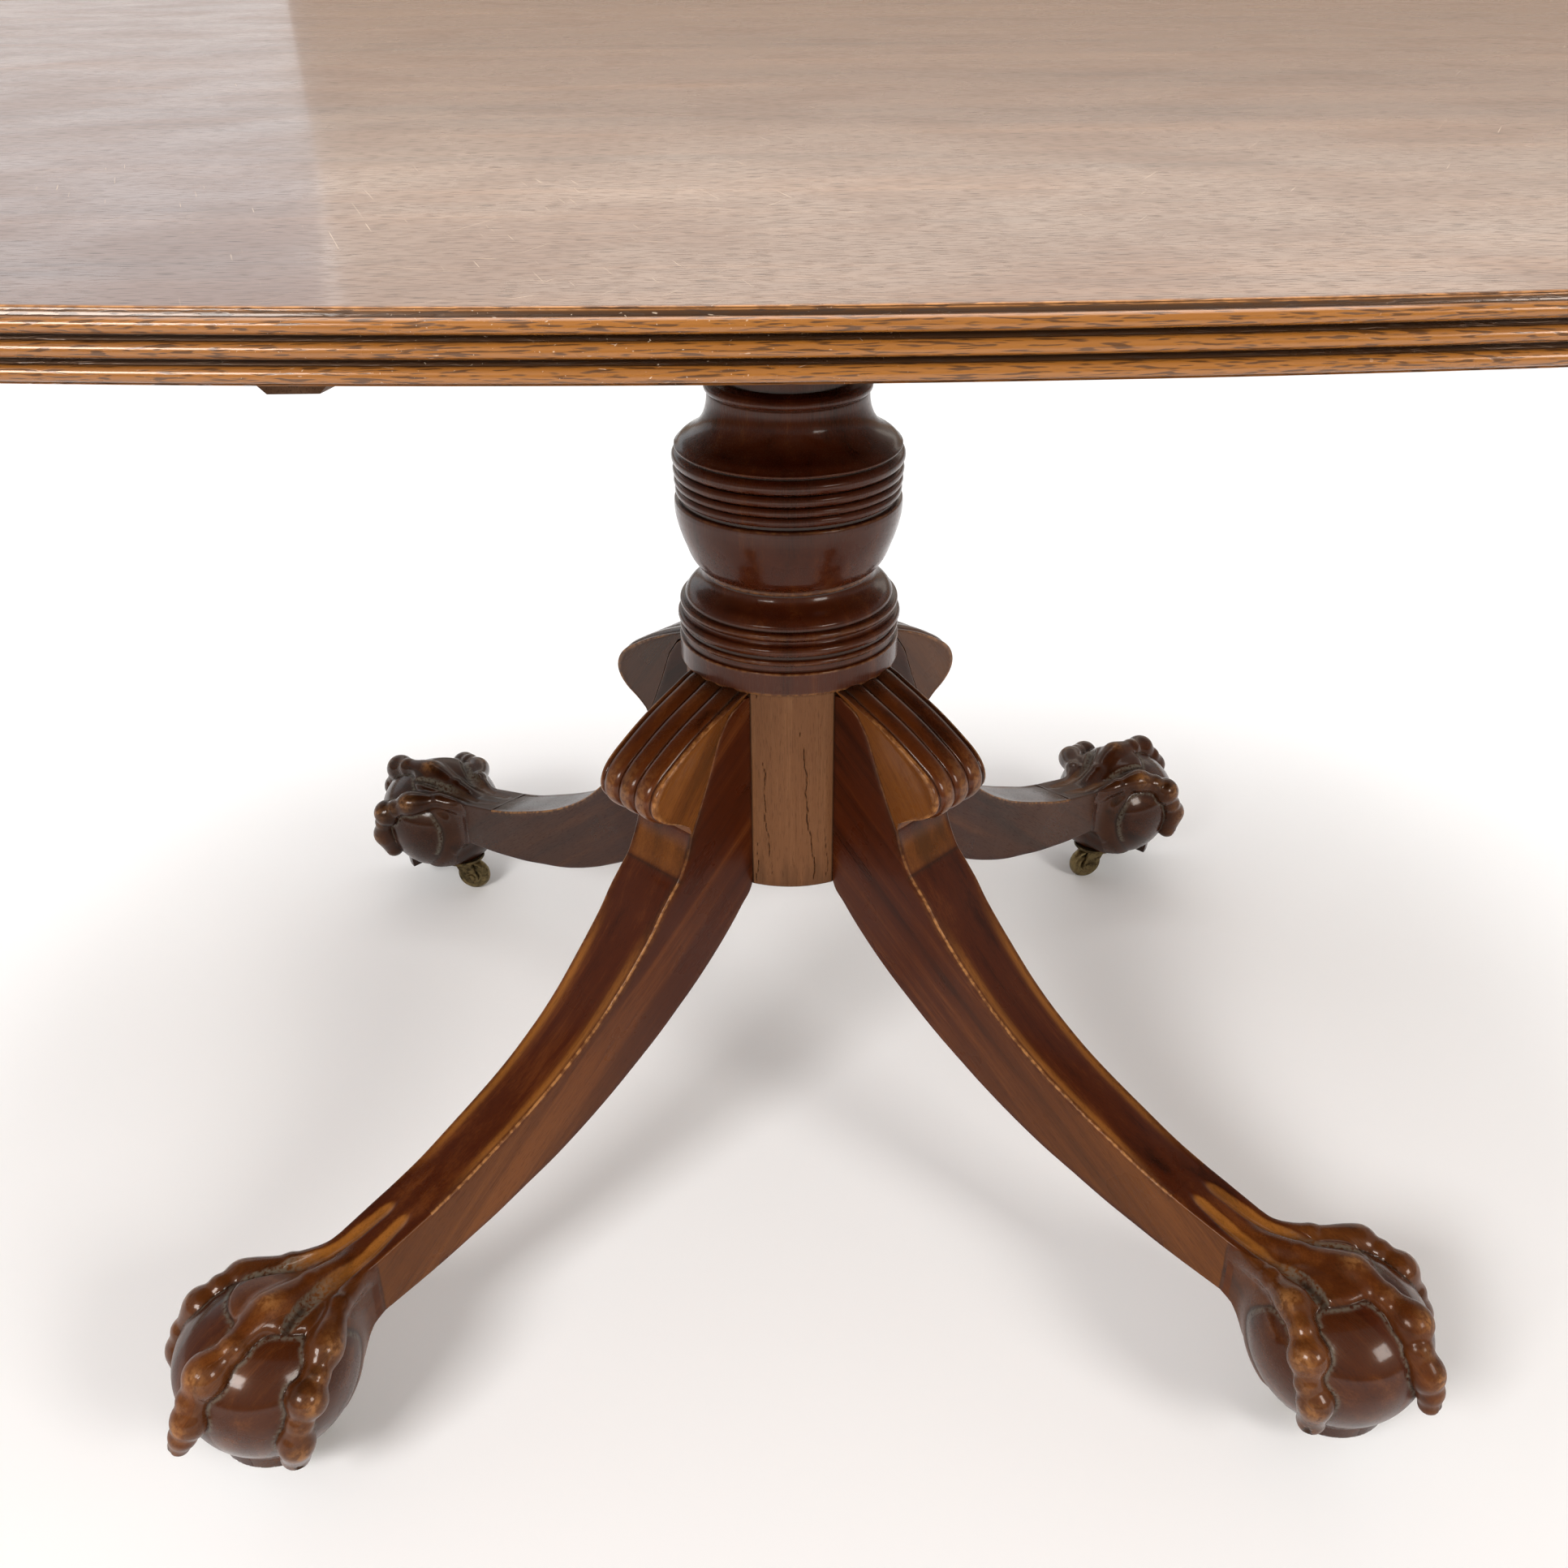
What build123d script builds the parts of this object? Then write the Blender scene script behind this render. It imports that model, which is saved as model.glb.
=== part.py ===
from build123d import *
import os
from math import cos, sin, radians

os.makedirs("parts", exist_ok=True)

# Tilt-top pedestal table. Origin on the floor under the pillar's axis, +Z up,
# front towards -Y, the long way of the top along X. Millimetres.

# ---- Driving dimensions ----
TABLE_HEIGHT = 759
TOP_THICKNESS = 18
TOP_HALF_LENGTH = 800
TOP_HALF_DEPTH = 617
LONG_SIDE_BOW = 2200
SHORT_SIDE_BOW = 2200
CORNER_RADIUS = 150
BOARD_COUNT = 4
REED_COUNT = 3
REED_HEIGHT = 5.6
REED_DEPTH = 2.6
REED_ROUNDING = 1
TOP_ARRIS_INSET = 3.6

BEARER_X = 147.5
BEARER_WIDTH = 24
BEARER_HEIGHT = 42
BEARER_TIP_HEIGHT = 16
BEARER_CHAMFER = 5
BEARER_REACH = 560
BEARER_LEVEL_REACH = 250
RIGHT_BEARER_FRONT_CUT = 22

PIVOT_Y = -128
PIVOT_Z = 721
PIVOT_RADIUS = 5
RUNNING_GAP = 0.05
BLOCK_HALF_WIDTH = 134.5
BLOCK_BOTTOM = 703
BLOCK_TOP = 740.7
BLOCK_REAR = 130
BLOCK_NOSE_RADIUS = 18

BOLT_Z = 733
BOLT_RADIUS = 4
BOLT_TIP_Y = 134.5
BOLT_LENGTH = 68
BOLT_TRAVEL = 12

COLLAR_RADIUS = 73.5
COLLAR_BOTTOM = 388
LEG_BLOCK_RADIUS = 70
LEG_BLOCK_BOTTOM = 239
LEG_SHOULDER = 64
DOVETAIL_DEPTH = 18
DOVETAIL_TOP = 352
SPIGOT_RADIUS = 24
SPIGOT_BOTTOM = 310
TOP_TENON_RADIUS = 22

LEG_HALF_WIDTH = 26
ANKLE_HALF_WIDTH = 19.5
KNEE_REED_RISE = 3.5
KNEE_REED_PITCH = 15.6
FOOT_START = 386
BALL_CENTRE = 457
TOE_SPREAD = 62

CASTER_CENTRE = 430
POCKET_RADIUS = 27.5
POCKET_TOP = 37
WHEEL_RADIUS = 15.5
WHEEL_HALF_WIDTH = 6.5
CASTER_TRAIL = 9
PINTLE_RADIUS = 4
AXLE_RADIUS = 3

# Azimuth of each leg, and which way each caster happens to trail from its leg.
LEGS = {"front_left": 225, "front_right": 315, "rear_right": 45, "rear_left": 135}
CASTER_TURN = {"front_left": 25, "front_right": 335, "rear_right": 150, "rear_left": 215}

top_underside = TABLE_HEIGHT - TOP_THICKNESS


def save(piece, name):
    piece.part.label = name
    export_step(piece.part, f"parts/{name}.step")


def turned_copy(piece, azimuth):
    """The same part turned about the pillar's axis."""
    with BuildPart() as copy:
        add(piece.part, rotation=(0, 0, azimuth))
    return copy


def screw(shank_radius, length):
    """A countersunk wood screw, its head's face at the origin and its point towards -Z."""
    with BuildPart() as body:
        with BuildSketch(Plane.XZ):
            with BuildLine():
                Polyline(
                    (0, 0),
                    (2 * shank_radius, 0),
                    (shank_radius, -shank_radius),
                    (shank_radius, -length + 2 * shank_radius),
                    (0, -length),
                    close=True,
                )
            make_face()
        revolve(axis=Axis.Z)
        with BuildSketch(Plane.XY):
            Rectangle(4 * shank_radius, shank_radius * 0.4)
        extrude(amount=-shank_radius * 0.5, mode=Mode.SUBTRACT)
    return body


# ---- Top: four boards with grain along X, edge moulded with three reeds ----
def top_outline(inset):
    """Four bowed sides and soft corners, drawn in from the full size."""
    with BuildSketch() as outline:
        with Locations((0, LONG_SIDE_BOW - TOP_HALF_DEPTH)):
            Circle(LONG_SIDE_BOW - inset)
        with Locations((0, TOP_HALF_DEPTH - LONG_SIDE_BOW)):
            Circle(LONG_SIDE_BOW - inset, mode=Mode.INTERSECT)
        for side in (-1, 1):
            with Locations((side * (SHORT_SIDE_BOW - TOP_HALF_LENGTH), 0)):
                Circle(SHORT_SIDE_BOW - inset, mode=Mode.INTERSECT)
        fillet(outline.vertices(), CORNER_RADIUS - inset)
    return outline


# The moulded edge as thin slices, bottom to top: height of each slice and how far it is drawn in.
edge_slices = []
for reed in range(REED_COUNT):
    edge_slices += [
        (0.25, REED_DEPTH),
        (0.9, REED_ROUNDING),
        (REED_HEIGHT - 2.3, 0),
        (0.9, REED_ROUNDING),
        (0.25, REED_DEPTH),
    ]
edge_slices.append((TOP_THICKNESS - REED_COUNT * REED_HEIGHT, TOP_ARRIS_INSET))
outlines = {inset: top_outline(inset) for inset in (0, REED_ROUNDING, REED_DEPTH, TOP_ARRIS_INSET)}

board_width = 2 * TOP_HALF_DEPTH / BOARD_COUNT
screw_height = top_underside + 12
bearer_screw_y = [-480, -350, -200, -70, 70, 200, 350, 480]
bearer_screw_head_z = 723

with BuildPart() as bearer_screws:
    with Locations(
        *[
            Location((side * BEARER_X, y, bearer_screw_head_z), (180, 0, 0))
            for side in (-1, 1)
            for y in bearer_screw_y
        ]
    ):
        add(screw(2.5, screw_height - bearer_screw_head_z).part)
save(bearer_screws, "bearer_screws")

# ---- Brass slide catch under the top, and its keep on the block ----
catch_plate_thickness = 2
catch_start_y = 138
catch_length = 58
catch_half_width = 18
lug_width = 15
lug_length = 7
rear_lug_y = catch_start_y + catch_length - lug_length
catch_screw_places = [
    (side * 13.5, y) for side in (-1, 1) for y in (catch_start_y + 14, catch_start_y + catch_length - 14)
]
catch_z = top_underside - catch_plate_thickness

with BuildPart() as catch_screws:
    with Locations(*[Location((x, y, catch_z), (180, 0, 0)) for x, y in catch_screw_places]):
        add(screw(1.6, 14).part)
save(catch_screws, "catch_screws")

with BuildPart() as catch_plate:
    with BuildSketch(Plane.XY.offset(catch_z)):
        with Locations((0, catch_start_y + catch_length / 2)):
            RectangleRounded(2 * catch_half_width, catch_length, 5)
    extrude(amount=catch_plate_thickness)
    for lug_y in (catch_start_y, rear_lug_y):
        with BuildSketch(Plane.XZ.offset(-lug_y)):
            with Locations((0, BOLT_Z)):
                Circle(lug_width / 2)
            with Locations((0, (BOLT_Z + catch_z) / 2)):
                Rectangle(lug_width, catch_z - BOLT_Z)
        extrude(amount=-lug_length)
    with BuildSketch(Plane.XZ.offset(-catch_start_y + 1)):
        with Locations((0, BOLT_Z)):
            Circle(BOLT_RADIUS + RUNNING_GAP)
    extrude(amount=-catch_length - 2, mode=Mode.SUBTRACT)
    add(catch_screws.part, mode=Mode.SUBTRACT)
save(catch_plate, "catch_plate")

knob_y = catch_start_y + lug_length + BOLT_TRAVEL + 6
with BuildPart() as catch_bolt:
    with BuildSketch(Plane.XZ.offset(-BOLT_TIP_Y)):
        with Locations((0, BOLT_Z)):
            Circle(BOLT_RADIUS)
    extrude(amount=-BOLT_LENGTH)
    chamfer(catch_bolt.faces().sort_by(Axis.Y)[0].edges(), 1)
    with BuildSketch(Plane.XY.offset(BOLT_Z - 16)):
        with Locations((0, knob_y)):
            Circle(2.5)
    extrude(amount=16)
    with Locations((0, knob_y, BOLT_Z - 17)):
        Sphere(5.5)
save(catch_bolt, "catch_bolt")

strike_thickness = 2
strike_half_width = 20
strike_z = 725
strike_screw_x = 13
with BuildPart() as strike_screws:
    with Locations(
        *[
            Location((side * strike_screw_x, BLOCK_REAR + strike_thickness, strike_z), (-90, 0, 0))
            for side in (-1, 1)
        ]
    ):
        add(screw(1.6, 16).part)
save(strike_screws, "strike_screws")

with BuildPart() as strike_plate:
    with BuildSketch(Plane.XZ.offset(-BLOCK_REAR)):
        with Locations((0, strike_z)):
            RectangleRounded(2 * strike_half_width, 29, 4)
        with Locations((0, BOLT_Z)):
            Circle(BOLT_RADIUS + 0.6, mode=Mode.SUBTRACT)
    extrude(amount=-strike_thickness)
    add(strike_screws.part, mode=Mode.SUBTRACT)
save(strike_plate, "strike_plate")

# ---- Boards: each is its own strip of the outline, slice by slice ----
for number in range(BOARD_COUNT):
    board_y = -TOP_HALF_DEPTH + (number + 0.5) * board_width
    slice_z = top_underside
    with BuildPart() as top_board:
        for height, inset in edge_slices:
            with BuildSketch(Plane.XY.offset(slice_z)):
                add(outlines[inset].sketch)
                with Locations((0, board_y)):
                    Rectangle(3 * TOP_HALF_LENGTH, board_width, mode=Mode.INTERSECT)
            extrude(amount=height)
            slice_z += height
        add(bearer_screws.part, mode=Mode.SUBTRACT)
        add(catch_screws.part, mode=Mode.SUBTRACT)
    save(top_board, f"top_board_{number + 1}")

# ---- Bearers: cross members screwed under the boards, thinned towards their ends ----
bearer_bottom = top_underside - BEARER_HEIGHT
tip_bottom = top_underside - BEARER_TIP_HEIGHT
for side, name in ((-1, "bearer_left"), (1, "bearer_right")):
    front_reach = BEARER_REACH - (RIGHT_BEARER_FRONT_CUT if side > 0 else 0)
    with BuildPart() as bearer:
        with BuildSketch(Plane.YZ.offset(side * BEARER_X - BEARER_WIDTH / 2)):
            with BuildLine():
                Line((-BEARER_LEVEL_REACH, bearer_bottom), (BEARER_LEVEL_REACH, bearer_bottom))
                TangentArc(
                    (BEARER_LEVEL_REACH, bearer_bottom), (BEARER_REACH, tip_bottom), tangent=(1, 0)
                )
                Polyline(
                    (BEARER_REACH, tip_bottom),
                    (BEARER_REACH, top_underside),
                    (-front_reach, top_underside),
                    (-front_reach, tip_bottom),
                )
                TangentArc(
                    (-BEARER_LEVEL_REACH, bearer_bottom), (-front_reach, tip_bottom), tangent=(-1, 0)
                )
            make_face()
        extrude(amount=BEARER_WIDTH)
        low_faces = bearer.faces().filter_by(lambda face: face.normal_at().Z < -0.5)
        long_edges = ShapeList(
            edge
            for face in low_faces
            for edge in face.edges()
            if abs(edge.center().X - side * BEARER_X) > BEARER_WIDTH / 2 - 1
        )
        chamfer(long_edges, BEARER_CHAMFER)
        with BuildSketch(Plane.YZ.offset(side * BEARER_X)):
            with Locations((PIVOT_Y, PIVOT_Z)):
                Circle(PIVOT_RADIUS + RUNNING_GAP)
        extrude(amount=BEARER_WIDTH, both=True, mode=Mode.SUBTRACT)
        with Locations(*[(side * BEARER_X, y, bearer_screw_head_z) for y in bearer_screw_y]):
            Cylinder(5.2, 60, align=(Align.CENTER, Align.CENTER, Align.MAX), mode=Mode.SUBTRACT)
        add(bearer_screws.part, mode=Mode.SUBTRACT)
    save(bearer, name)

# ---- Tilt block on the pillar, with the two pivot pins ----
pin_head_radius = 9
pin_head_thickness = 3
pin_inner_end = BLOCK_HALF_WIDTH - 40
pin_head_x = BEARER_X + BEARER_WIDTH / 2 + 0.3

for side, name in ((-1, "pivot_pin_left"), (1, "pivot_pin_right")):
    with BuildPart() as pivot_pin:
        with BuildSketch(Plane.YZ.offset(side * pin_inner_end)):
            with Locations((PIVOT_Y, PIVOT_Z)):
                Circle(PIVOT_RADIUS)
        extrude(amount=side * (pin_head_x - pin_inner_end))
        with BuildSketch(Plane.YZ.offset(side * pin_head_x)):
            with Locations((PIVOT_Y, PIVOT_Z)):
                Circle(pin_head_radius)
        extrude(amount=side * pin_head_thickness)
        chamfer(pivot_pin.edges().group_by(Axis.X)[-1 if side > 0 else 0], 1)
    save(pivot_pin, name)

with BuildPart() as tilt_block:
    with BuildSketch(Plane.YZ.offset(-BLOCK_HALF_WIDTH)):
        with BuildLine():
            Polyline(
                (PIVOT_Y, BLOCK_BOTTOM),
                (BLOCK_REAR, BLOCK_BOTTOM),
                (BLOCK_REAR, BLOCK_TOP),
                (PIVOT_Y + 14, BLOCK_TOP),
                (PIVOT_Y, PIVOT_Z + BLOCK_NOSE_RADIUS),
            )
            ThreePointArc(
                (PIVOT_Y, PIVOT_Z + BLOCK_NOSE_RADIUS),
                (PIVOT_Y - BLOCK_NOSE_RADIUS, PIVOT_Z),
                (PIVOT_Y, PIVOT_Z - BLOCK_NOSE_RADIUS),
            )
        make_face()
    extrude(amount=2 * BLOCK_HALF_WIDTH)
    with BuildSketch(Plane.XY.offset(BLOCK_BOTTOM)):
        Circle(TOP_TENON_RADIUS)
    extrude(amount=BLOCK_TOP - BLOCK_BOTTOM, mode=Mode.SUBTRACT)
    for side in (-1, 1):
        with BuildSketch(Plane.YZ.offset(side * pin_inner_end)):
            with Locations((PIVOT_Y, PIVOT_Z)):
                Circle(PIVOT_RADIUS)
        extrude(amount=side * 60, mode=Mode.SUBTRACT)
    with BuildSketch(Plane.XZ.offset(-BLOCK_REAR)):
        with Locations((0, BOLT_Z)):
            Circle(BOLT_RADIUS + 0.6)
    extrude(amount=BOLT_TRAVEL + 4, mode=Mode.SUBTRACT)
    add(strike_screws.part, mode=Mode.SUBTRACT)
save(tilt_block, "tilt_block")

# ---- Pillar: one turning, with a tenon at each end ----
with BuildPart() as tenon_wedge:
    with BuildSketch(Plane.XZ.offset(-TOP_TENON_RADIUS + 4)):
        with BuildLine():
            Polyline(
                (-0.6, BLOCK_BOTTOM + 6),
                (0.6, BLOCK_BOTTOM + 6),
                (2.2, BLOCK_TOP),
                (-2.2, BLOCK_TOP),
                close=True,
            )
        make_face()
    extrude(amount=2 * TOP_TENON_RADIUS - 8)
save(tenon_wedge, "tenon_wedge")

with BuildPart() as pillar:
    with BuildSketch(Plane.XZ):
        with BuildLine():
            Polyline(
                (0, SPIGOT_BOTTOM),
                (SPIGOT_RADIUS, SPIGOT_BOTTOM),
                (SPIGOT_RADIUS, COLLAR_BOTTOM),
                (COLLAR_RADIUS, COLLAR_BOTTOM),
                (COLLAR_RADIUS, 404),
                (71.3, 406),
                (71.3, 409),
            )
            ThreePointArc((71.3, 409), (73.3, 411), (71.3, 413))
            Line((71.3, 413), (71.3, 415))
            ThreePointArc((71.3, 415), (74.5, 418.6), (72.5, 422.2))
            ThreePointArc((72.5, 422.2), (70.2, 424), (70.6, 425.8))
            ThreePointArc((70.6, 425.8), (72.8, 428.2), (70.2, 430.6))
            Line((70.2, 430.6), (69.4, 432))
            Spline((69.4, 432), (65.5, 438), (58.4, 443), (55.5, 450), tangents=((-0.2, 1), (0, 1)))
            Polyline((55.5, 450), (57.3, 450.6), (57.3, 453.8), (56.2, 454.6), (60.8, 455.4))
            Spline((60.8, 455.4), (67.5, 468.6), (72.1, 482), (74, 495), tangents=((0.5, 1), (0, 1)))
            Polyline((74, 495), (73.4, 499), (71.4, 500), (71.4, 502))
            ThreePointArc((71.4, 502), (73.3, 505), (71.7, 508))
            ThreePointArc((71.7, 508), (73.9, 511), (71.7, 514.2))
            ThreePointArc((71.7, 514.2), (74.4, 518), (71.8, 521.8))
            ThreePointArc((71.8, 521.8), (75, 526.3), (72.4, 530.8))
            Polyline((72.4, 530.8), (72, 532.4), (73, 533.4))
            Spline(
                (73, 533.4), (69, 538), (61, 543), (54.6, 550.6), (51.6, 567), tangents=((0, 1), (0, 1))
            )
            ThreePointArc((51.6, 567), (53.6, 571), (51.6, 575))
            Polyline((51.6, 575), (44, 576.5), (44, 656))
            ThreePointArc((44, 656), (48, 678), (61, 692))
            Polyline(
                (61, 692),
                (61, BLOCK_BOTTOM),
                (TOP_TENON_RADIUS, BLOCK_BOTTOM),
                (TOP_TENON_RADIUS, BLOCK_TOP),
                (0, BLOCK_TOP),
                (0, SPIGOT_BOTTOM),
            )
        make_face()
    revolve(axis=Axis.Z)
    add(tenon_wedge.part, mode=Mode.SUBTRACT)
save(pillar, "pillar")

# ---- Screws of the iron spider plate that ties the leg roots together ----
plate_thickness = 3
arm_half_width = 9
slope_start = Vector(LEG_SHOULDER, 0, LEG_BLOCK_BOTTOM)
slope_end = Vector(104, 0, 200)
slope = (slope_end - slope_start).normalized()
slope_normal = Vector(-slope.Z, 0, slope.X)
arm_screw_at = slope_start + slope * 38 - slope_normal * plate_thickness
centre_screw_radius = 36

with BuildPart() as arm_screw:
    with Locations(
        Plane(origin=arm_screw_at, x_dir=(0, 1, 0), z_dir=-slope_normal).location,
        Location((centre_screw_radius, 0, LEG_BLOCK_BOTTOM - plate_thickness), (180, 0, 0)),
    ):
        add(screw(2.2, 26).part)
with BuildPart() as spider_screws:
    for azimuth in LEGS.values():
        add(arm_screw.part, rotation=(0, 0, azimuth))
save(spider_screws, "spider_screws")

with BuildPart() as spider_arm:
    with BuildSketch(Plane.XZ.offset(-arm_half_width)):
        with BuildLine():
            low = LEG_BLOCK_BOTTOM - plate_thickness
            tip_top = slope_start + slope * 50
            tip_low = tip_top - slope_normal * plate_thickness
            bend = slope_start - slope_normal * plate_thickness
            bend_x = bend.X + (low - bend.Z) * slope.X / slope.Z
            Polyline(
                (0, LEG_BLOCK_BOTTOM),
                (slope_start.X, slope_start.Z),
                (tip_top.X, tip_top.Z),
                (tip_low.X, tip_low.Z),
                (bend_x, low),
                (0, low),
                close=True,
            )
        make_face()
    extrude(amount=2 * arm_half_width)
with BuildPart() as spider_plate:
    with BuildSketch(Plane.XY.offset(low)):
        Circle(30)
    extrude(amount=plate_thickness)
    for azimuth in LEGS.values():
        add(spider_arm.part, rotation=(0, 0, azimuth))
    add(spider_screws.part, mode=Mode.SUBTRACT)
save(spider_plate, "spider_plate")

# ---- Leg block: the drum that the four legs are dovetailed into ----
with BuildPart() as dovetail:
    with BuildSketch(Plane.XY.offset(LEG_BLOCK_BOTTOM)):
        with BuildLine():
            Polyline(
                (LEG_SHOULDER, -9),
                (LEG_SHOULDER, 9),
                (LEG_SHOULDER - DOVETAIL_DEPTH, 13),
                (LEG_SHOULDER - DOVETAIL_DEPTH, -13),
                close=True,
            )
        make_face()
    extrude(amount=DOVETAIL_TOP - LEG_BLOCK_BOTTOM)

with BuildPart() as leg_block:
    with BuildSketch(Plane.XY.offset(LEG_BLOCK_BOTTOM)):
        Circle(LEG_BLOCK_RADIUS)
    extrude(amount=COLLAR_BOTTOM - LEG_BLOCK_BOTTOM)
    with BuildSketch(Plane.XY.offset(SPIGOT_BOTTOM)):
        Circle(SPIGOT_RADIUS)
    extrude(amount=COLLAR_BOTTOM - SPIGOT_BOTTOM, mode=Mode.SUBTRACT)
    for azimuth in LEGS.values():
        flat = Plane((0, 0, LEG_BLOCK_BOTTOM), x_dir=(cos(radians(azimuth)), sin(radians(azimuth)), 0))
        with BuildSketch(flat):
            with Locations((LEG_SHOULDER + 20, 0)):
                Rectangle(40, 2 * LEG_HALF_WIDTH)
        extrude(amount=COLLAR_BOTTOM - LEG_BLOCK_BOTTOM, mode=Mode.SUBTRACT)
        add(dovetail.part, rotation=(0, 0, azimuth), mode=Mode.SUBTRACT)
    add(spider_screws.part, mode=Mode.SUBTRACT)
save(leg_block, "leg_block")

# ---- Casters: brass plate and screws, pintle horn, axle, wheel ----
plate_radius = 20
caster_plate_thickness = 2.5
plate_bottom = POCKET_TOP - caster_plate_thickness
crown_top = plate_bottom - 0.3
crown_bottom = WHEEL_RADIUS * 2 + 0.7
cheek_thickness = 2.5
cheek_inner = WHEEL_HALF_WIDTH + 0.9

with BuildPart() as caster_screw_set:
    with Locations((CASTER_CENTRE, 0, plate_bottom)):
        with PolarLocations(14.5, 4, start_angle=45):
            with Locations(Location((0, 0, 0), (180, 0, 0))):
                add(screw(1.7, 18).part)
with BuildPart() as caster_screws:
    for azimuth in LEGS.values():
        add(caster_screw_set.part, rotation=(0, 0, azimuth))
save(caster_screws, "caster_screws")

with BuildPart() as caster_plate_pattern:
    with BuildSketch(Plane.XY.offset(plate_bottom)):
        with Locations((CASTER_CENTRE, 0)):
            Circle(plate_radius)
            Circle(PINTLE_RADIUS + RUNNING_GAP, mode=Mode.SUBTRACT)
    extrude(amount=caster_plate_thickness)
    add(caster_screw_set.part, mode=Mode.SUBTRACT)

with BuildPart() as horn_pattern:
    with BuildSketch(Plane.XY.offset(crown_bottom)):
        Circle(cheek_inner + cheek_thickness)
    extrude(amount=crown_top - crown_bottom)
    with BuildSketch(Plane.XY.offset(crown_bottom)):
        Circle(PINTLE_RADIUS)
    extrude(amount=POCKET_TOP + 0.4 - crown_bottom)
    with BuildSketch(Plane.XY.offset(POCKET_TOP + 0.4)):
        Circle(PINTLE_RADIUS + 2)
    extrude(amount=2.5)
    for side in (-1, 1):
        with BuildSketch(Plane.XZ.offset(-side * cheek_inner)):
            with Locations((CASTER_TRAIL, WHEEL_RADIUS)):
                Circle(6.5)
            with Locations((1, (crown_top + crown_bottom) / 2)):
                Rectangle(15, crown_top - crown_bottom)
            make_hull()
        extrude(amount=-side * cheek_thickness)
    with BuildSketch(Plane.XZ):
        with Locations((CASTER_TRAIL, WHEEL_RADIUS)):
            Circle(AXLE_RADIUS)
    extrude(amount=40, both=True, mode=Mode.SUBTRACT)

axle_end = cheek_inner + cheek_thickness
with BuildPart() as axle_pattern:
    with BuildSketch(Plane.XZ.offset(-axle_end)):
        with Locations((CASTER_TRAIL, WHEEL_RADIUS)):
            Circle(AXLE_RADIUS)
    extrude(amount=2 * axle_end)
    for side in (-1, 1):
        with BuildSketch(Plane.XZ.offset(-side * axle_end)):
            with Locations((CASTER_TRAIL, WHEEL_RADIUS)):
                Circle(AXLE_RADIUS + 1.4)
        extrude(amount=-side * 1.2, taper=30)

with BuildPart() as wheel_pattern:
    with BuildSketch(Plane.XY):
        with BuildLine():
            Polyline(
                (AXLE_RADIUS + RUNNING_GAP, WHEEL_HALF_WIDTH),
                (8, WHEEL_HALF_WIDTH),
                (9, WHEEL_HALF_WIDTH - 1.2),
                (WHEEL_RADIUS - 3, WHEEL_HALF_WIDTH - 1.2),
            )
            ThreePointArc(
                (WHEEL_RADIUS - 3, WHEEL_HALF_WIDTH - 1.2),
                (WHEEL_RADIUS, 0),
                (WHEEL_RADIUS - 3, 1.2 - WHEEL_HALF_WIDTH),
            )
            Polyline(
                (WHEEL_RADIUS - 3, 1.2 - WHEEL_HALF_WIDTH),
                (9, 1.2 - WHEEL_HALF_WIDTH),
                (8, -WHEEL_HALF_WIDTH),
                (AXLE_RADIUS + RUNNING_GAP, -WHEEL_HALF_WIDTH),
                (AXLE_RADIUS + RUNNING_GAP, WHEEL_HALF_WIDTH),
            )
        make_face()
    revolve(axis=Axis.Y)

for name, azimuth in LEGS.items():
    save(turned_copy(caster_plate_pattern, azimuth), f"caster_plate_{name}")
    swivel = (
        CASTER_CENTRE * cos(radians(azimuth)),
        CASTER_CENTRE * sin(radians(azimuth)),
    )
    at_swivel = Location((*swivel, 0), (0, 0, azimuth + CASTER_TURN[name]))
    at_axle = at_swivel * Location((CASTER_TRAIL, 0, WHEEL_RADIUS))
    with BuildPart() as caster_horn:
        with Locations(at_swivel):
            add(horn_pattern.part)
    save(caster_horn, f"caster_horn_{name}")
    with BuildPart() as caster_axle:
        with Locations(at_swivel):
            add(axle_pattern.part)
    save(caster_axle, f"caster_axle_{name}")
    with BuildPart() as caster_wheel:
        with Locations(at_axle):
            add(wheel_pattern.part)
    save(caster_wheel, f"caster_wheel_{name}")

# ---- Claw-and-ball foot, drawn whole with its leg along +X, then sawn into leg and cheeks ----
# Each toe is a tendon from the ankle and then knuckles: distance from the ball's axis,
# height above the floor and radius.
ankle_point = (392, 106, 9)
knuckles = [(8, 117, 11), (41, 104, 11.5), (55, 77, 11), (57, 52, 9), (54, 42, 7)]

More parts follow.
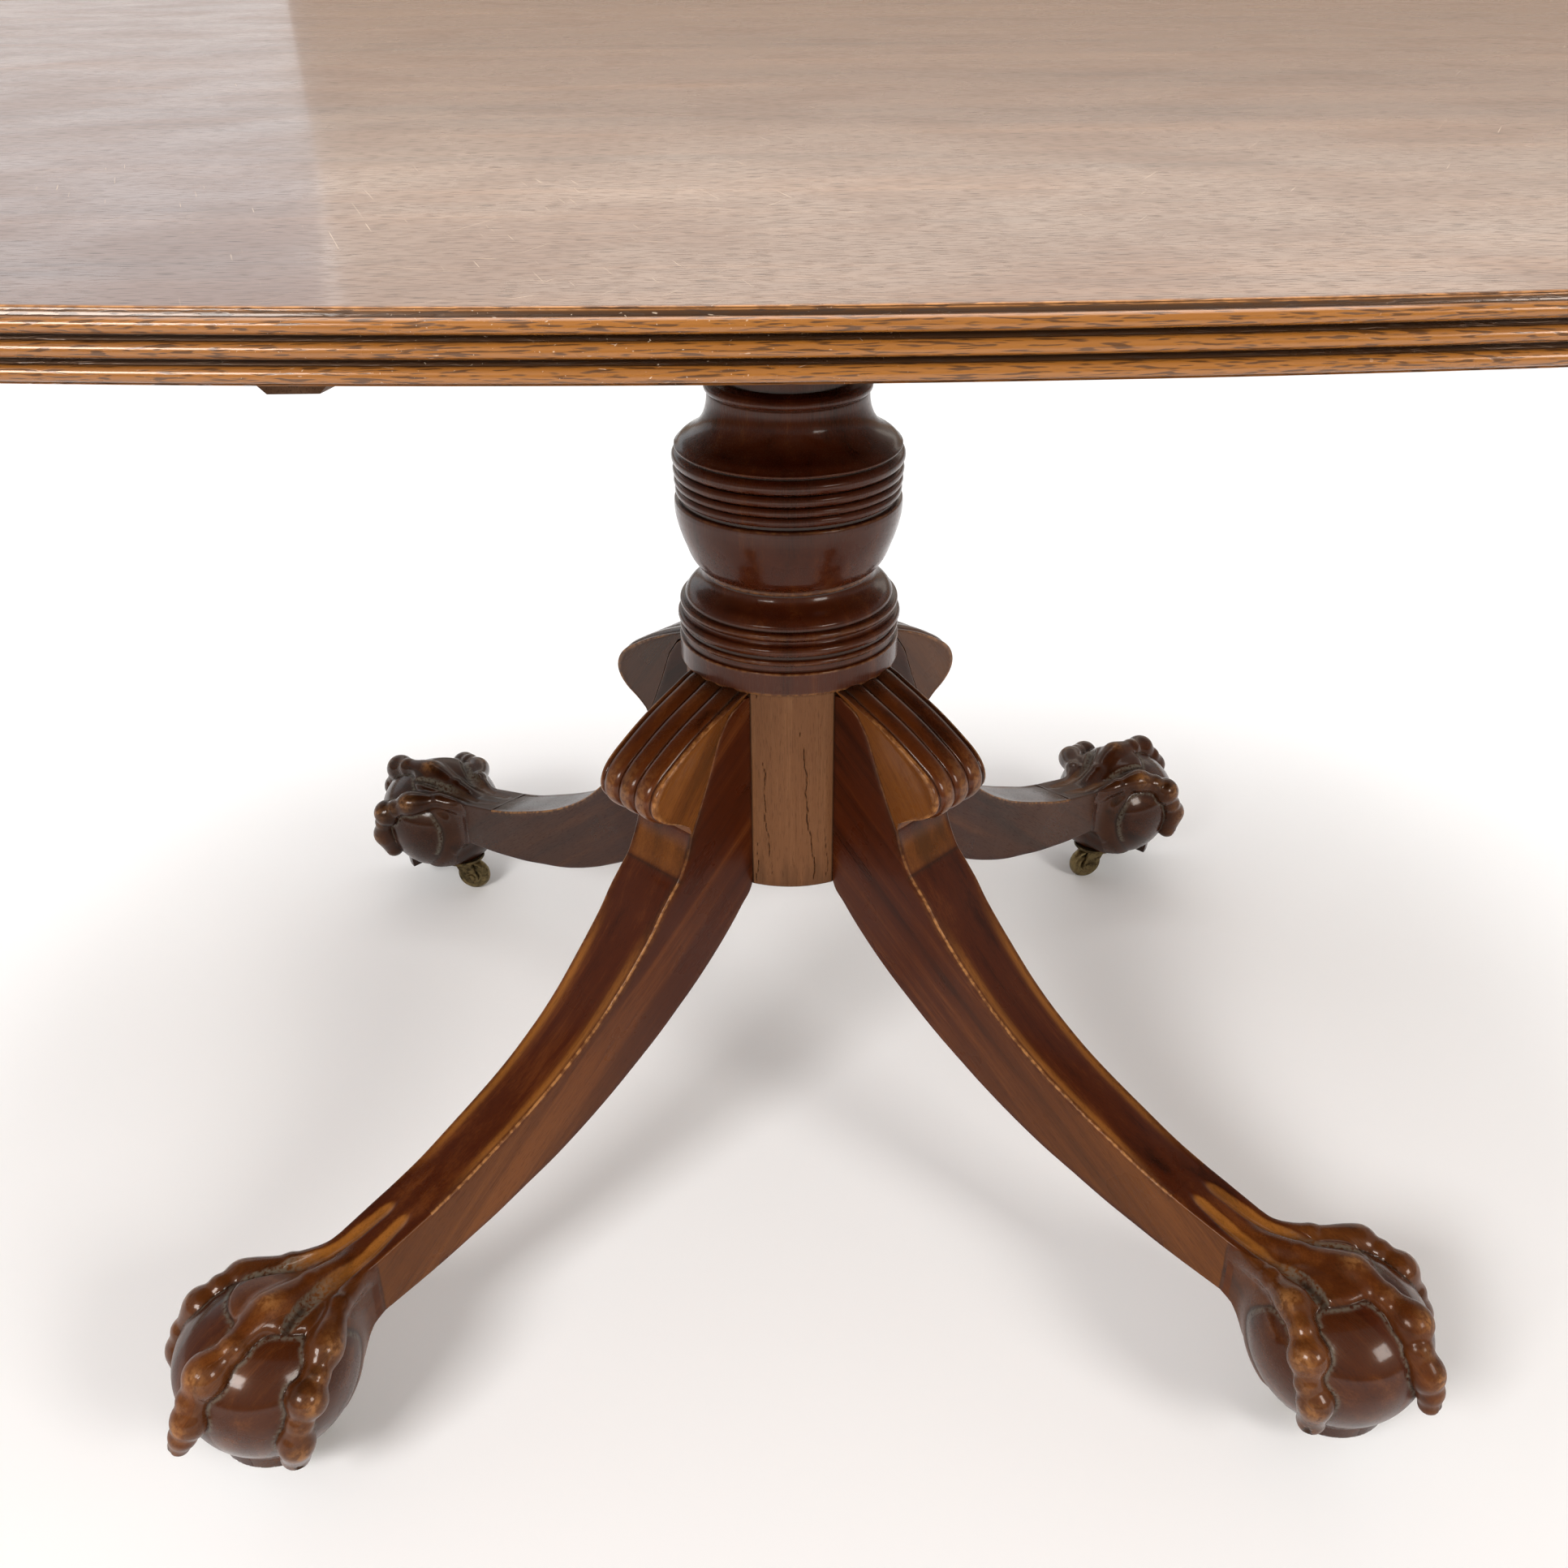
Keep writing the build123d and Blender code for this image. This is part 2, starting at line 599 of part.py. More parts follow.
with BuildPart() as foot:
    with BuildSketch(Plane.XZ):
        with BuildLine():
            Line((0, 23), (34, 23))
            Line((34, 23), (36, 32))
            Spline((36, 32), (50, 54), (54, 79), (43, 105), (0, 122), tangents=((0.7, 1), (-1, 0)))
            Line((0, 122), (0, 23))
        make_face()
    revolve(axis=Axis.Z)
with BuildPart() as foot_blank:
    add(foot.part.moved(Location((BALL_CENTRE, 0, 0))))
    with BuildSketch(Plane.XZ):
        with BuildLine():
            Polyline((FOOT_START - 4, 78), (396, 71), (408, 57), (440, 50), (460, 80))
            Polyline((460, 80), (455, 119), (425, 113), (FOOT_START - 4, 117), (FOOT_START - 4, 78))
        make_face()
    extrude(amount=34, both=True)
    with BuildSketch(Plane.XY):
        with BuildLine():
            Polyline(
                (FOOT_START - 4, ANKLE_HALF_WIDTH),
                (FOOT_START, ANKLE_HALF_WIDTH),
                (410, 25),
                (440, 38),
                (470, 60),
                (560, 80),
                (560, -80),
                (470, -60),
                (440, -38),
                (410, -25),
                (FOOT_START, -ANKLE_HALF_WIDTH),
                (FOOT_START - 4, -ANKLE_HALF_WIDTH),
                close=True,
            )
        make_face()
    extrude(amount=200, mode=Mode.INTERSECT)
    for spread in (-TOE_SPREAD, 0, TOE_SPREAD):
        path = [Vector(ankle_point[0], 10 * sin(radians(spread)), ankle_point[1])]
        radii = [ankle_point[2]]
        for reach, height, radius in knuckles:
            toe_x = BALL_CENTRE + reach * cos(radians(spread))
            path.append(Vector(toe_x, reach * sin(radians(spread)), height))
            radii.append(radius)
        for here, radius in zip(path[1:], radii[1:]):
            with Locations(here):
                Sphere(radius)
        for here, there, r1, r2 in zip(path, path[1:], radii, radii[1:]):
            with Locations(Plane(origin=here, z_dir=there - here).location):
                Cylinder(
                    0.85 * min(r1, r2),
                    (there - here).length,
                    align=(Align.CENTER, Align.CENTER, Align.MIN),
                )
    with BuildSketch(Plane.XY):
        with Locations((CASTER_CENTRE, 0)):
            Circle(POCKET_RADIUS)
    extrude(amount=POCKET_TOP, mode=Mode.SUBTRACT)
    with BuildSketch(Plane.XY.offset(POCKET_TOP)):
        with Locations((CASTER_CENTRE, 0)):
            Circle(PINTLE_RADIUS + 3)
    extrude(amount=4, mode=Mode.SUBTRACT)
    add(caster_screw_set.part, mode=Mode.SUBTRACT)

cheeks = {}
for side, name in ((1, "left"), (-1, "right")):
    with BuildPart() as cheek:
        add(foot_blank.part)
        with Locations((450, side * (ANKLE_HALF_WIDTH + 50), 100)):
            Box(220, 100, 220, mode=Mode.INTERSECT)
    cheeks[name] = cheek

with BuildPart() as foot_core:
    add(foot_blank.part)
    Box(1400, 2 * ANKLE_HALF_WIDTH, 600, mode=Mode.INTERSECT)

# ---- Sabre leg: dovetail, tapered shank and the middle of the foot in one piece ----
with BuildPart() as leg_pattern:
    with BuildSketch(Plane.XZ):
        with BuildLine():
            Line((LEG_SHOULDER, LEG_BLOCK_BOTTOM), (slope_end.X, slope_end.Z))
            Spline(
                (slope_end.X, slope_end.Z),
                (140, 171),
                (200, 133),
                (275, 102),
                (FOOT_START, 76),
                tangents=((slope.X, slope.Z), (1, -0.25)),
            )
            Line((FOOT_START, 76), (FOOT_START, 116.5))
            Spline(
                (FOOT_START, 116.5),
                (300, 144.5),
                (225, 185),
                (160, 243),
                (121, 303),
                tangents=((-1, 0.15), (-0.3, 1)),
            )
            Polyline((121, 303), (85, 378), (LEG_SHOULDER, 384.5), (LEG_SHOULDER, LEG_BLOCK_BOTTOM))
        make_face()
    extrude(amount=LEG_HALF_WIDTH, both=True)
    with BuildSketch(Plane.XY):
        with BuildLine():
            Polyline(
                (0, LEG_HALF_WIDTH),
                (140, LEG_HALF_WIDTH),
                (190, 23.6),
                (260, 21.6),
                (FOOT_START, ANKLE_HALF_WIDTH),
                (FOOT_START, -ANKLE_HALF_WIDTH),
                (260, -21.6),
                (190, -23.6),
                (140, -LEG_HALF_WIDTH),
                (0, -LEG_HALF_WIDTH),
                close=True,
            )
        make_face()
    extrude(amount=500, mode=Mode.INTERSECT)
    add(dovetail.part)
    add(foot_core.part)
    add(arm_screw.part, mode=Mode.SUBTRACT)

# ---- Knee block: reeded scroll glued on the front of each leg ----
with BuildPart() as knee_pattern:
    for rise, centre, half_width in (
        (0, 0, LEG_HALF_WIDTH),
        (KNEE_REED_RISE, -KNEE_REED_PITCH, 6.3),
        (KNEE_REED_RISE, 0, 6.3),
        (KNEE_REED_RISE, KNEE_REED_PITCH, 6.3),
    ):
        with BuildSketch(Plane.XZ.offset(-centre)):
            with BuildLine():
                ThreePointArc(
                    (LEG_SHOULDER, 384.5 + rise), (108, 371 + rise), (149 + 0.6 * rise, 347 + 0.8 * rise)
                )
                ThreePointArc(
                    (149 + 0.6 * rise, 347 + 0.8 * rise),
                    (153.6 + rise, 336),
                    (146 + 0.6 * rise, 323.5 - 0.8 * rise),
                )
                Polyline(
                    (146 + 0.6 * rise, 323.5 - 0.8 * rise),
                    (116, 307.5),
                    (80, 330),
                    (LEG_SHOULDER, 384.5 + rise),
                )
            make_face()
        extrude(amount=half_width, both=True)
    add(leg_pattern.part, mode=Mode.SUBTRACT)

for name, azimuth in LEGS.items():
    save(turned_copy(leg_pattern, azimuth), f"leg_{name}")
    save(turned_copy(knee_pattern, azimuth), f"knee_block_{name}")
    for side in cheeks:
        save(turned_copy(cheeks[side], azimuth), f"foot_cheek_{name}_{side}")
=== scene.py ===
from math import acos, atan2, ceil, cos, hypot, pi, radians, sin, sqrt

import bmesh
import bpy
import numpy as np
from mathutils import Euler, Matrix, Vector


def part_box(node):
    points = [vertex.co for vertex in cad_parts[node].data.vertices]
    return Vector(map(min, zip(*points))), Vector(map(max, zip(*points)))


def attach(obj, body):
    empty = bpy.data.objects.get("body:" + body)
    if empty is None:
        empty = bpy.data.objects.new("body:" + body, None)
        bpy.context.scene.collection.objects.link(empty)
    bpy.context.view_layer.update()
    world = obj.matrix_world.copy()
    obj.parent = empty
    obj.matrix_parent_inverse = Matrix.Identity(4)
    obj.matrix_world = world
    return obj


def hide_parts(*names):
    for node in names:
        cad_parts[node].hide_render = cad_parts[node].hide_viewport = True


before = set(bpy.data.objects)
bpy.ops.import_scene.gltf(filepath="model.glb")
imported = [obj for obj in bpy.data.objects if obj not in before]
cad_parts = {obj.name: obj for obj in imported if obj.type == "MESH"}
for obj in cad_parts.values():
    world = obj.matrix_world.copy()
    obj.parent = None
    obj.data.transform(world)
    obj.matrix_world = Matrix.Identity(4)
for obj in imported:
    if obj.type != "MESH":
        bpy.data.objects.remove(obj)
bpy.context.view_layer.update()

# Lengths are in millimetres until a mesh is made. Legs, knees and feet are drawn with the
# leg along +X: u is the distance from the pillar's axis, v is across the leg.
MM = 0.001
LEGS = {"front_left": 225, "front_right": 315, "rear_right": 45, "rear_left": 135}


# ---------------------------------------------------------------- materials
class Nodes:
    """Short names for making and joining shader nodes."""

    def __init__(self, tree):
        self.tree = tree

    def add(self, kind, inputs=(), **settings):
        node = self.tree.nodes.new(kind)
        for key, value in settings.items():
            setattr(node, key, value)
        for key, value in dict(inputs).items():
            self.put(node.inputs[key], value)
        return node

    def put(self, socket, value):
        if hasattr(value, "is_output"):
            self.tree.links.new(value, socket)
        else:
            socket.default_value = value

    def math(self, operation, a, b=0.0, clamp=False):
        node = self.add("ShaderNodeMath", operation=operation, use_clamp=clamp)
        self.put(node.inputs[0], a)
        self.put(node.inputs[1], b)
        return node.outputs[0]

    def spread(self, value, low, high, to_low=0.0, to_high=1.0):
        """The value between low and high becomes to_low to to_high, smoothly."""
        node = self.add("ShaderNodeMapRange", interpolation_type="SMOOTHSTEP")
        for key, number in zip(range(5), (value, low, high, to_low, to_high)):
            self.put(node.inputs[key], number)
        return node.outputs[0]

    def mix(self, factor, a, b, blend="MIX"):
        node = self.add("ShaderNodeMix", data_type="RGBA", blend_type=blend)
        self.put(node.inputs["Factor"], factor)
        for key, colour in ((6, a), (7, b)):
            self.put(node.inputs[key], colour if hasattr(colour, "is_output") else (*colour, 1))
        return node.outputs[2]

    def noise(self, vector, scale, detail=3.0, roughness=0.5, distortion=0.0):
        inputs = {"Vector": vector, "Scale": scale, "Detail": detail}
        inputs.update({"Roughness": roughness, "Distortion": distortion})
        return self.add("ShaderNodeTexNoise", inputs).outputs["Fac"]

    def stretched(self, vector, scale, rotation=(0, 0, 0), location=(0, 0, 0)):
        turned = self.add("ShaderNodeMapping", {"Vector": vector, "Rotation": rotation})
        inputs = {"Vector": turned.outputs[0], "Scale": scale, "Location": location}
        return self.add("ShaderNodeMapping", inputs).outputs[0]

    def attribute(self, name):
        return self.add("ShaderNodeAttribute", attribute_name=name).outputs["Fac"]

    def finish(self, inputs):
        """The surface shader and the material's output."""
        shader = self.add("ShaderNodeBsdfPrincipled", inputs)
        self.add("ShaderNodeOutputMaterial", {"Surface": shader.outputs[0]})


def new_material(name):
    material = bpy.data.materials.new(name)
    material.use_nodes = True
    material.node_tree.nodes.clear()
    return material, Nodes(material.node_tree)


GOLDEN = (0.27, 0.100, 0.018)
RUBBED_AND_HIGHLIGHT = (0.42, 0.19, 0.06)
OLD_WAX = (0.16, 0.15, 0.115)
GRIME_AND_SHADE = (0.010, 0.004, 0.002)
SCRATCH = (0.62, 0.50, 0.38)
# Which way the scratches on a top run, in radians, and how short they are.
SCRATCH_RUNS = ((0.25, 26), (-0.5, 34), (1.25, 30), (-1.1, 22))


def wood(name, dark, middle, light, grain=(0, 0, 0), seed=0.0, roughness=0.34, coat=0.25, pores=1.0,
         figure=1.0, scratches=0.0, golden=GOLDEN, ripple=0.7, shine=0.15):
    """Polished mahogany. grain turns the wood so that its fibres, along X, follow the piece.
    Meshes may carry wear, dirt, wax and golden marks, which say where the polish has changed; the dirt marks
    also hold painted shade, and the wear marks painted highlights."""
    material, n = new_material(name)
    place = n.add("ShaderNodeTexCoord").outputs["Object"]
    shift = (seed, 1.7 * seed, 2.3 * seed)

    broad = n.noise(n.stretched(place, (1.6, 14, 14), grain, shift), 1.0, 2, 0.5, 0.6)
    bands = n.noise(n.stretched(place, (3.0, 75, 75), grain, shift), 1.0, 4, 0.55, 0.35)
    fibres = n.noise(n.stretched(place, (22, 900, 900), grain, shift), 1.0, 2, 0.6)
    dashes = n.noise(n.stretched(place, (150, 1900, 1900), grain, shift), 1.0, 1, 0.4)
    cloud = n.noise(n.stretched(place, (9, 9, 9), grain, shift), 1.0, 3, 0.5)

    tone = n.math("MULTIPLY", n.math("SUBTRACT", bands, 0.5), 1.5 * figure)
    for noise, share in ((broad, 1.3 * figure), (fibres, 0.55), (cloud, 0.45)):
        tone = n.math("ADD", tone, n.math("MULTIPLY", n.math("SUBTRACT", noise, 0.5), share))
    tone = n.math("ADD", tone, 0.5, clamp=True)
    colour = n.mix(n.spread(tone, 0.5, 1.0), n.mix(n.spread(tone, 0.0, 0.5), dark, middle), light)

    # Where the wood is golden its open pores show more.
    pore = n.spread(n.math("ADD", dashes, n.math("MULTIPLY", n.attribute("golden"), 0.04)), 0.57, 0.68)
    warm = n.math("MULTIPLY", n.attribute("golden"), n.spread(tone, 0.1, 0.75, 0.55, 1.0), clamp=True)
    colour = n.mix(warm, colour, golden)
    patchy = n.spread(n.noise(place, 260, 3), 0.38, 0.62, 0.25, 1.0)
    # Lightened by the wear marks: real rubbed wear, and a painted highlight along some arrises.
    wear_and_highlight = n.math("MULTIPLY", n.attribute("wear_and_highlight"), patchy, clamp=True)
    colour = n.mix(n.math("MULTIPLY", wear_and_highlight, 0.7), colour, RUBBED_AND_HIGHLIGHT)
    colour = n.mix(n.math("MULTIPLY", pore, 0.75 * pores), colour, tuple(0.25 * c for c in dark))
    crumbs = n.spread(n.noise(place, 420, 2), 0.30, 0.60)
    wax = n.math("MULTIPLY", n.attribute("wax"), crumbs, clamp=True)
    colour = n.mix(n.math("MULTIPLY", wax, 0.7), colour, OLD_WAX)
    # Darkened by the dirt marks: real grime in joints and cracks, and painted shade in grooves, hollows and
    # creases.
    colour = n.mix(n.math("MULTIPLY", n.attribute("dirt_and_shade"), 0.93), colour, GRIME_AND_SHADE)

    rough = n.spread(n.noise(place, 16, 4), 0.3, 0.7, roughness - 0.06, roughness + 0.07)
    rough = n.math("ADD", rough, n.math("MULTIPLY", pore, 0.15))
    matt = n.math("MULTIPLY", n.math("ADD", n.attribute("wax"), wear_and_highlight), 0.18)
    rough = n.math("ADD", rough, matt, clamp=True)
    height = n.math("MULTIPLY", pore, -0.35 * pores)
    height = n.math("ADD", height, n.math("MULTIPLY", fibres, 0.22))
    height = n.math("ADD", height, n.math("MULTIPLY", n.noise(place, 55, 2), ripple))
    if scratches:
        lines = 0.0
        for turn, shortness in SCRATCH_RUNS:
            scuff = n.noise(n.stretched(place, (shortness, 1500, 1500), (0, 0, turn), shift), 1.0, 1)
            lines = n.math("ADD", lines, n.spread(scuff, 0.765, 0.79))
        patch = n.math("MULTIPLY", n.spread(n.noise(place, 5.5, 2), 0.42, 0.62), scratches)
        flecks = n.spread(n.noise(n.stretched(place, (420, 420, 420)), 1.0, 1), 0.80, 0.83)
        marks = n.math("MULTIPLY", n.math("ADD", lines, flecks), patch, clamp=True)
        colour = n.mix(n.math("MULTIPLY", marks, 0.6), colour, SCRATCH)
        height = n.math("ADD", height, n.math("MULTIPLY", marks, -0.6))
        rough = n.math("ADD", rough, n.math("MULTIPLY", marks, 0.25), clamp=True)
    bump = n.add("ShaderNodeBump", {"Strength": 0.30, "Distance": 0.00035, "Height": height}).outputs[0]
    faint = n.add("ShaderNodeBump", {"Strength": 0.12, "Distance": 0.0003, "Height": height}).outputs[0]
    n.finish({
        "Base Color": colour, "Roughness": rough, "Normal": bump, "IOR": 1.5, "Specular IOR Level": shine,
        "Specular Tint": (1.0, 0.66, 0.46, 1), "Coat Weight": coat, "Coat Roughness": 0.10, "Coat IOR": 1.5,
        "Coat Normal": faint})
    return material


def metal(name, bright, dull, roughness, grime=0.5, scale=90):
    """Old metal: bright where it is rubbed, dull and grimy in patches."""
    material, n = new_material(name)
    place = n.add("ShaderNodeTexCoord").outputs["Object"]
    patches = n.spread(n.noise(place, scale, 5, 0.65), 0.38, 0.62)
    colour = n.mix(patches, bright, dull)
    spots = n.spread(n.noise(place, 4 * scale, 3), 0.52, 0.68)
    colour = n.mix(n.math("MULTIPLY", spots, grime), colour, tuple(0.25 * c for c in dull))
    rough = n.spread(patches, 0, 1, roughness, roughness + 0.25)
    fine = n.noise(n.stretched(place, (300, 300, 1800)), 1.0, 2)
    height = n.math("ADD", n.math("MULTIPLY", patches, 0.5), fine)
    bump = n.add("ShaderNodeBump", {"Strength": 0.3, "Distance": 0.0002, "Height": height}).outputs[0]
    n.finish({"Base Color": colour, "Roughness": rough, "Metallic": 1.0, "Normal": bump})
    return material


def floor_material():
    material, n = new_material("pale_floor")
    place = n.add("ShaderNodeTexCoord").outputs["Object"]
    rough = n.spread(n.noise(place, 3, 3), 0.3, 0.7, 0.75, 0.85)
    n.finish({"Base Color": (0.95, 0.95, 0.955, 1), "Roughness": rough})
    return material


DARK = (0.014, 0.0024, 0.0008)
MIDDLE = (0.045, 0.0080, 0.0018)
LIGHT = (0.100, 0.0260, 0.0055)
LEG_GRAIN = (0, radians(-38), 0)
UPRIGHT = (0, radians(90), 0)

BOARDS = 4

top_wood = [
    wood(f"top_board_{i + 1}_wood", (0.055, 0.0190, 0.0090), (0.110, 0.045, 0.0215), (0.18, 0.083, 0.041),
         seed=3.1 * i, roughness=0.27, coat=0.45, figure=0.8, scratches=1.0, golden=(0.225, 0.084, 0.014),
         ripple=0.08, shine=0.45)
    for i in range(BOARDS)
]
pillar_wood = wood("pillar_wood", DARK, MIDDLE, LIGHT, UPRIGHT, 5.0, roughness=0.26, coat=0.32, pores=0.3,
                   figure=0.7)
block_wood = wood("leg_block_wood", (0.060, 0.022, 0.008), (0.125, 0.052, 0.021), (0.19, 0.088, 0.038),
                  UPRIGHT, 8.0, roughness=0.45, coat=0.1, pores=0.35, figure=0.8)

# Painted shade: each rear leg's copies of the woods are made darker, as if in shadow.
PAINTED_LEG_SHADE = {"front_left": 1.0, "front_right": 1.0, "rear_right": 0.68, "rear_left": 0.50}


def leg_woods(kind, tones, grain, seed, **looks):
    """The same wood for each leg, with its own figure, and darkened on the rear legs as painted shade."""
    woods = {}
    for i, name in enumerate(LEGS):
        dark, middle, light = (tuple(PAINTED_LEG_SHADE[name] * c for c in tone) for tone in tones)
        golden = tuple(PAINTED_LEG_SHADE[name] ** 2 * c for c in GOLDEN)
        woods[name] = wood(f"{name}_{kind}_wood", dark, middle, light, grain, seed + 2.3 * i,
                           golden=golden, **looks)
    return woods


leg_wood = leg_woods("leg", (DARK, MIDDLE, LIGHT), LEG_GRAIN, 11.0, roughness=0.30, coat=0.14, pores=0.3)
knee_wood = leg_woods("knee", ((0.022, 0.0045, 0.0012), (0.070, 0.0160, 0.0030), (0.14, 0.042, 0.008)),
                      (0, radians(-52), 0), 21.0, roughness=0.27, coat=0.28, pores=0.3)
foot_wood = leg_woods("foot", ((0.016, 0.0034, 0.0010), (0.050, 0.0115, 0.0028), (0.105, 0.031, 0.007)),
                      (0, radians(-25), 0), 35.0, roughness=0.27, coat=0.34, pores=0.35)
plain_wood = wood("plain_wood", (0.040, 0.018, 0.009), (0.078, 0.038, 0.019), (0.12, 0.064, 0.034),
                  (0, 0, radians(90)), 31.0, roughness=0.60, coat=0.05, pores=0.9)
old_brass = metal("old_brass", (0.17, 0.125, 0.058), (0.075, 0.055, 0.028), 0.40, 0.6)
wheel_brass = metal("wheel_brass", (0.22, 0.165, 0.078), (0.10, 0.076, 0.038), 0.36, 0.5)
rubbed_brass = metal("rubbed_brass", (0.62, 0.45, 0.19), (0.34, 0.23, 0.10), 0.28, 0.4)
black_iron = metal("black_iron", (0.10, 0.095, 0.09), (0.05, 0.035, 0.028), 0.5, 0.5)
old_steel = metal("old_steel", (0.42, 0.40, 0.37), (0.16, 0.12, 0.09), 0.35, 0.6, 250)


# ---------------------------------------------------------------- mesh tools
def smoothstep(low, high, x):
    t = np.clip((np.asarray(x, float) - low) / (high - low), 0, 1)
    return t * t * (3 - 2 * t)


def curve_through(points, count):
    """count points on a smooth curve through the given ones, evenly spaced along it."""
    p = np.asarray(points, float)
    q = np.vstack([2 * p[0] - p[1], p, 2 * p[-1] - p[-2]])
    t = np.linspace(0, 1, 24, endpoint=False)[:, None]
    spans = []
    for a, b, c, d in zip(q, q[1:], q[2:], q[3:]):
        spans.append(0.5 * (2 * b + (c - a) * t + (2 * a - 5 * b + 4 * c - d) * t ** 2
                            + (3 * b - a - 3 * c + d) * t ** 3))
    dense = np.vstack(spans + [p[-1:]])
    return evenly(dense, count)


def evenly(points, count):
    """The polyline resampled to count points at equal steps."""
    steps = np.r_[0, np.cumsum(np.linalg.norm(np.diff(points, axis=0), axis=1))]
    at = np.linspace(0, steps[-1], count)
    return np.column_stack([np.interp(at, steps, points[:, k]) for k in range(points.shape[1])])


def arc_through(a, b, c, count=14):
    """Points on the arc from a through b to c, without a."""
    (ax, ay), (bx, by), (cx, cy) = a, b, c
    d = 2 * (ax * (by - cy) + bx * (cy - ay) + cx * (ay - by))
    sa, sb, sc = ax * ax + ay * ay, bx * bx + by * by, cx * cx + cy * cy
    ox = (sa * (by - cy) + sb * (cy - ay) + sc * (ay - by)) / d
    oy = (sa * (cx - bx) + sb * (ax - cx) + sc * (bx - ax)) / d
    start, middle, end = (atan2(y - oy, x - ox) for x, y in (a, b, c))
    turn = (end - start) % (2 * pi)
    if (middle - start) % (2 * pi) > turn:
        turn -= 2 * pi
    radius = hypot(ax - ox, ay - oy)
    angles = start + turn * np.arange(1, count + 1) / count
    return np.column_stack([ox + radius * np.cos(angles), oy + radius * np.sin(angles)])


def grid_faces(rows, columns, close_columns=False):
    """Quads of a grid whose vertex (i, j) has number i * columns + j."""
    wide = columns if close_columns else columns - 1
    i, j = np.meshgrid(np.arange(rows - 1), np.arange(wide), indexing="ij")
    k = (j + 1) % columns
    quads = np.stack([i * columns + j, i * columns + k, (i + 1) * columns + k, (i + 1) * columns + j], -1)
    return quads.reshape(-1, 4)


def make_object(name, vertices, faces, marks=None, sharp=35, flip=False):
    """A smooth-shaded object from millimetre vertices. marks are values stored on the vertices."""
    mesh = bpy.data.meshes.new(name)
    ordered = [tuple(reversed(f)) if flip else tuple(f) for f in faces]
    mesh.from_pydata((np.asarray(vertices) * MM).tolist(), [], ordered)
    for key, values in (marks or {}).items():
        layer = mesh.attributes.new(key, "FLOAT", "POINT")
        layer.data.foreach_set("value", np.asarray(values, np.float32).ravel())
    mesh.shade_smooth()
    mesh.set_sharp_from_angle(angle=radians(sharp))
    piece = bpy.data.objects.new(name, mesh)
    bpy.context.scene.collection.objects.link(piece)
    return piece


def settle(piece, body, nodes, material, azimuth=0.0):
    """Turns a piece to its leg and says what it rides on, replaces and is made of."""
    piece.data.materials.append(material)
    piece.rotation_euler.z = radians(azimuth)
    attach(piece, body)
    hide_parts(*nodes)
    return piece


def edit(piece, work):
    """Runs work(bmesh) on the piece's mesh."""
    bm = bmesh.new()
    bm.from_mesh(piece.data)
    work(bm)
    bm.to_mesh(piece.data)
    bm.free()


def cut(bm, point, normal):
    """Keeps what is behind the plane and closes the cut."""
    geometry = bm.verts[:] + bm.edges[:] + bm.faces[:]
    made = bmesh.ops.bisect_plane(bm, geom=geometry, plane_co=Vector(point) * MM, plane_no=normal,
                                  clear_outer=True, dist=1e-7)
    edges = [e for e in made["geom_cut"] if isinstance(e, bmesh.types.BMEdge) and e.is_boundary]
    bmesh.ops.triangle_fill(bm, edges=edges, use_beauty=False, normal=normal)


# ---------------------------------------------------------------- top
top_low, top_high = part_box("top_board_1")
TOP_HALF_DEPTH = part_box("top_board_4")[1].y / MM
TOP_HALF_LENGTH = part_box("top_board_2")[1].x / MM
UNDERSIDE = top_low.z / MM
TOP_THICKNESS = (top_high.z - top_low.z) / MM
SIDE_BOW = 2200
CORNER_RADIUS = 150
REED_PITCH = 5.6
REED_HALF_WIDTH = 2.05
REED_DEPTH = 2.7
QUIRK_INSET = 3.3


def top_outline():
    """Points round the top's full outline, and the outward normals there."""
    long_centre = np.array([0, TOP_HALF_DEPTH - SIDE_BOW])
    short_centre = np.array([TOP_HALF_LENGTH - SIDE_BOW, 0])
    reach = SIDE_BOW - CORNER_RADIUS
    between = long_centre - short_centre
    middle = (long_centre + short_centre) / 2
    away = np.array([-between[1], between[0]]) / np.linalg.norm(between)
    corner = middle + away * sqrt(reach ** 2 - (np.linalg.norm(between) / 2) ** 2) * np.sign(away.sum())
    long_end = atan2(*(corner - long_centre)[::-1])
    short_end = atan2(*(corner - short_centre)[::-1])
    angles = np.concatenate([
        np.linspace(0, short_end, 24, endpoint=False),
        np.linspace(short_end, long_end, 36, endpoint=False),
        np.linspace(long_end, pi / 2, 36),
    ])
    normals = np.column_stack([np.cos(angles), np.sin(angles)])
    points = np.where((angles < short_end)[:, None], short_centre + SIDE_BOW * normals,
                      np.where((angles < long_end)[:, None], corner + CORNER_RADIUS * normals,
                               long_centre + SIDE_BOW * normals))
    quarters = [(points, normals)]
    for flip_x, flip_y, reverse in ((-1, 1, True), (-1, -1, False), (1, -1, True)):
        p, m = points * (flip_x, flip_y), normals * (flip_x, flip_y)
        quarters.append((p[::-1][1:], m[::-1][1:]) if reverse else (p[1:], m[1:]))
    ring = np.vstack([q[0] for q in quarters])[:-1]
    return ring, np.vstack([q[1] for q in quarters])[:-1]


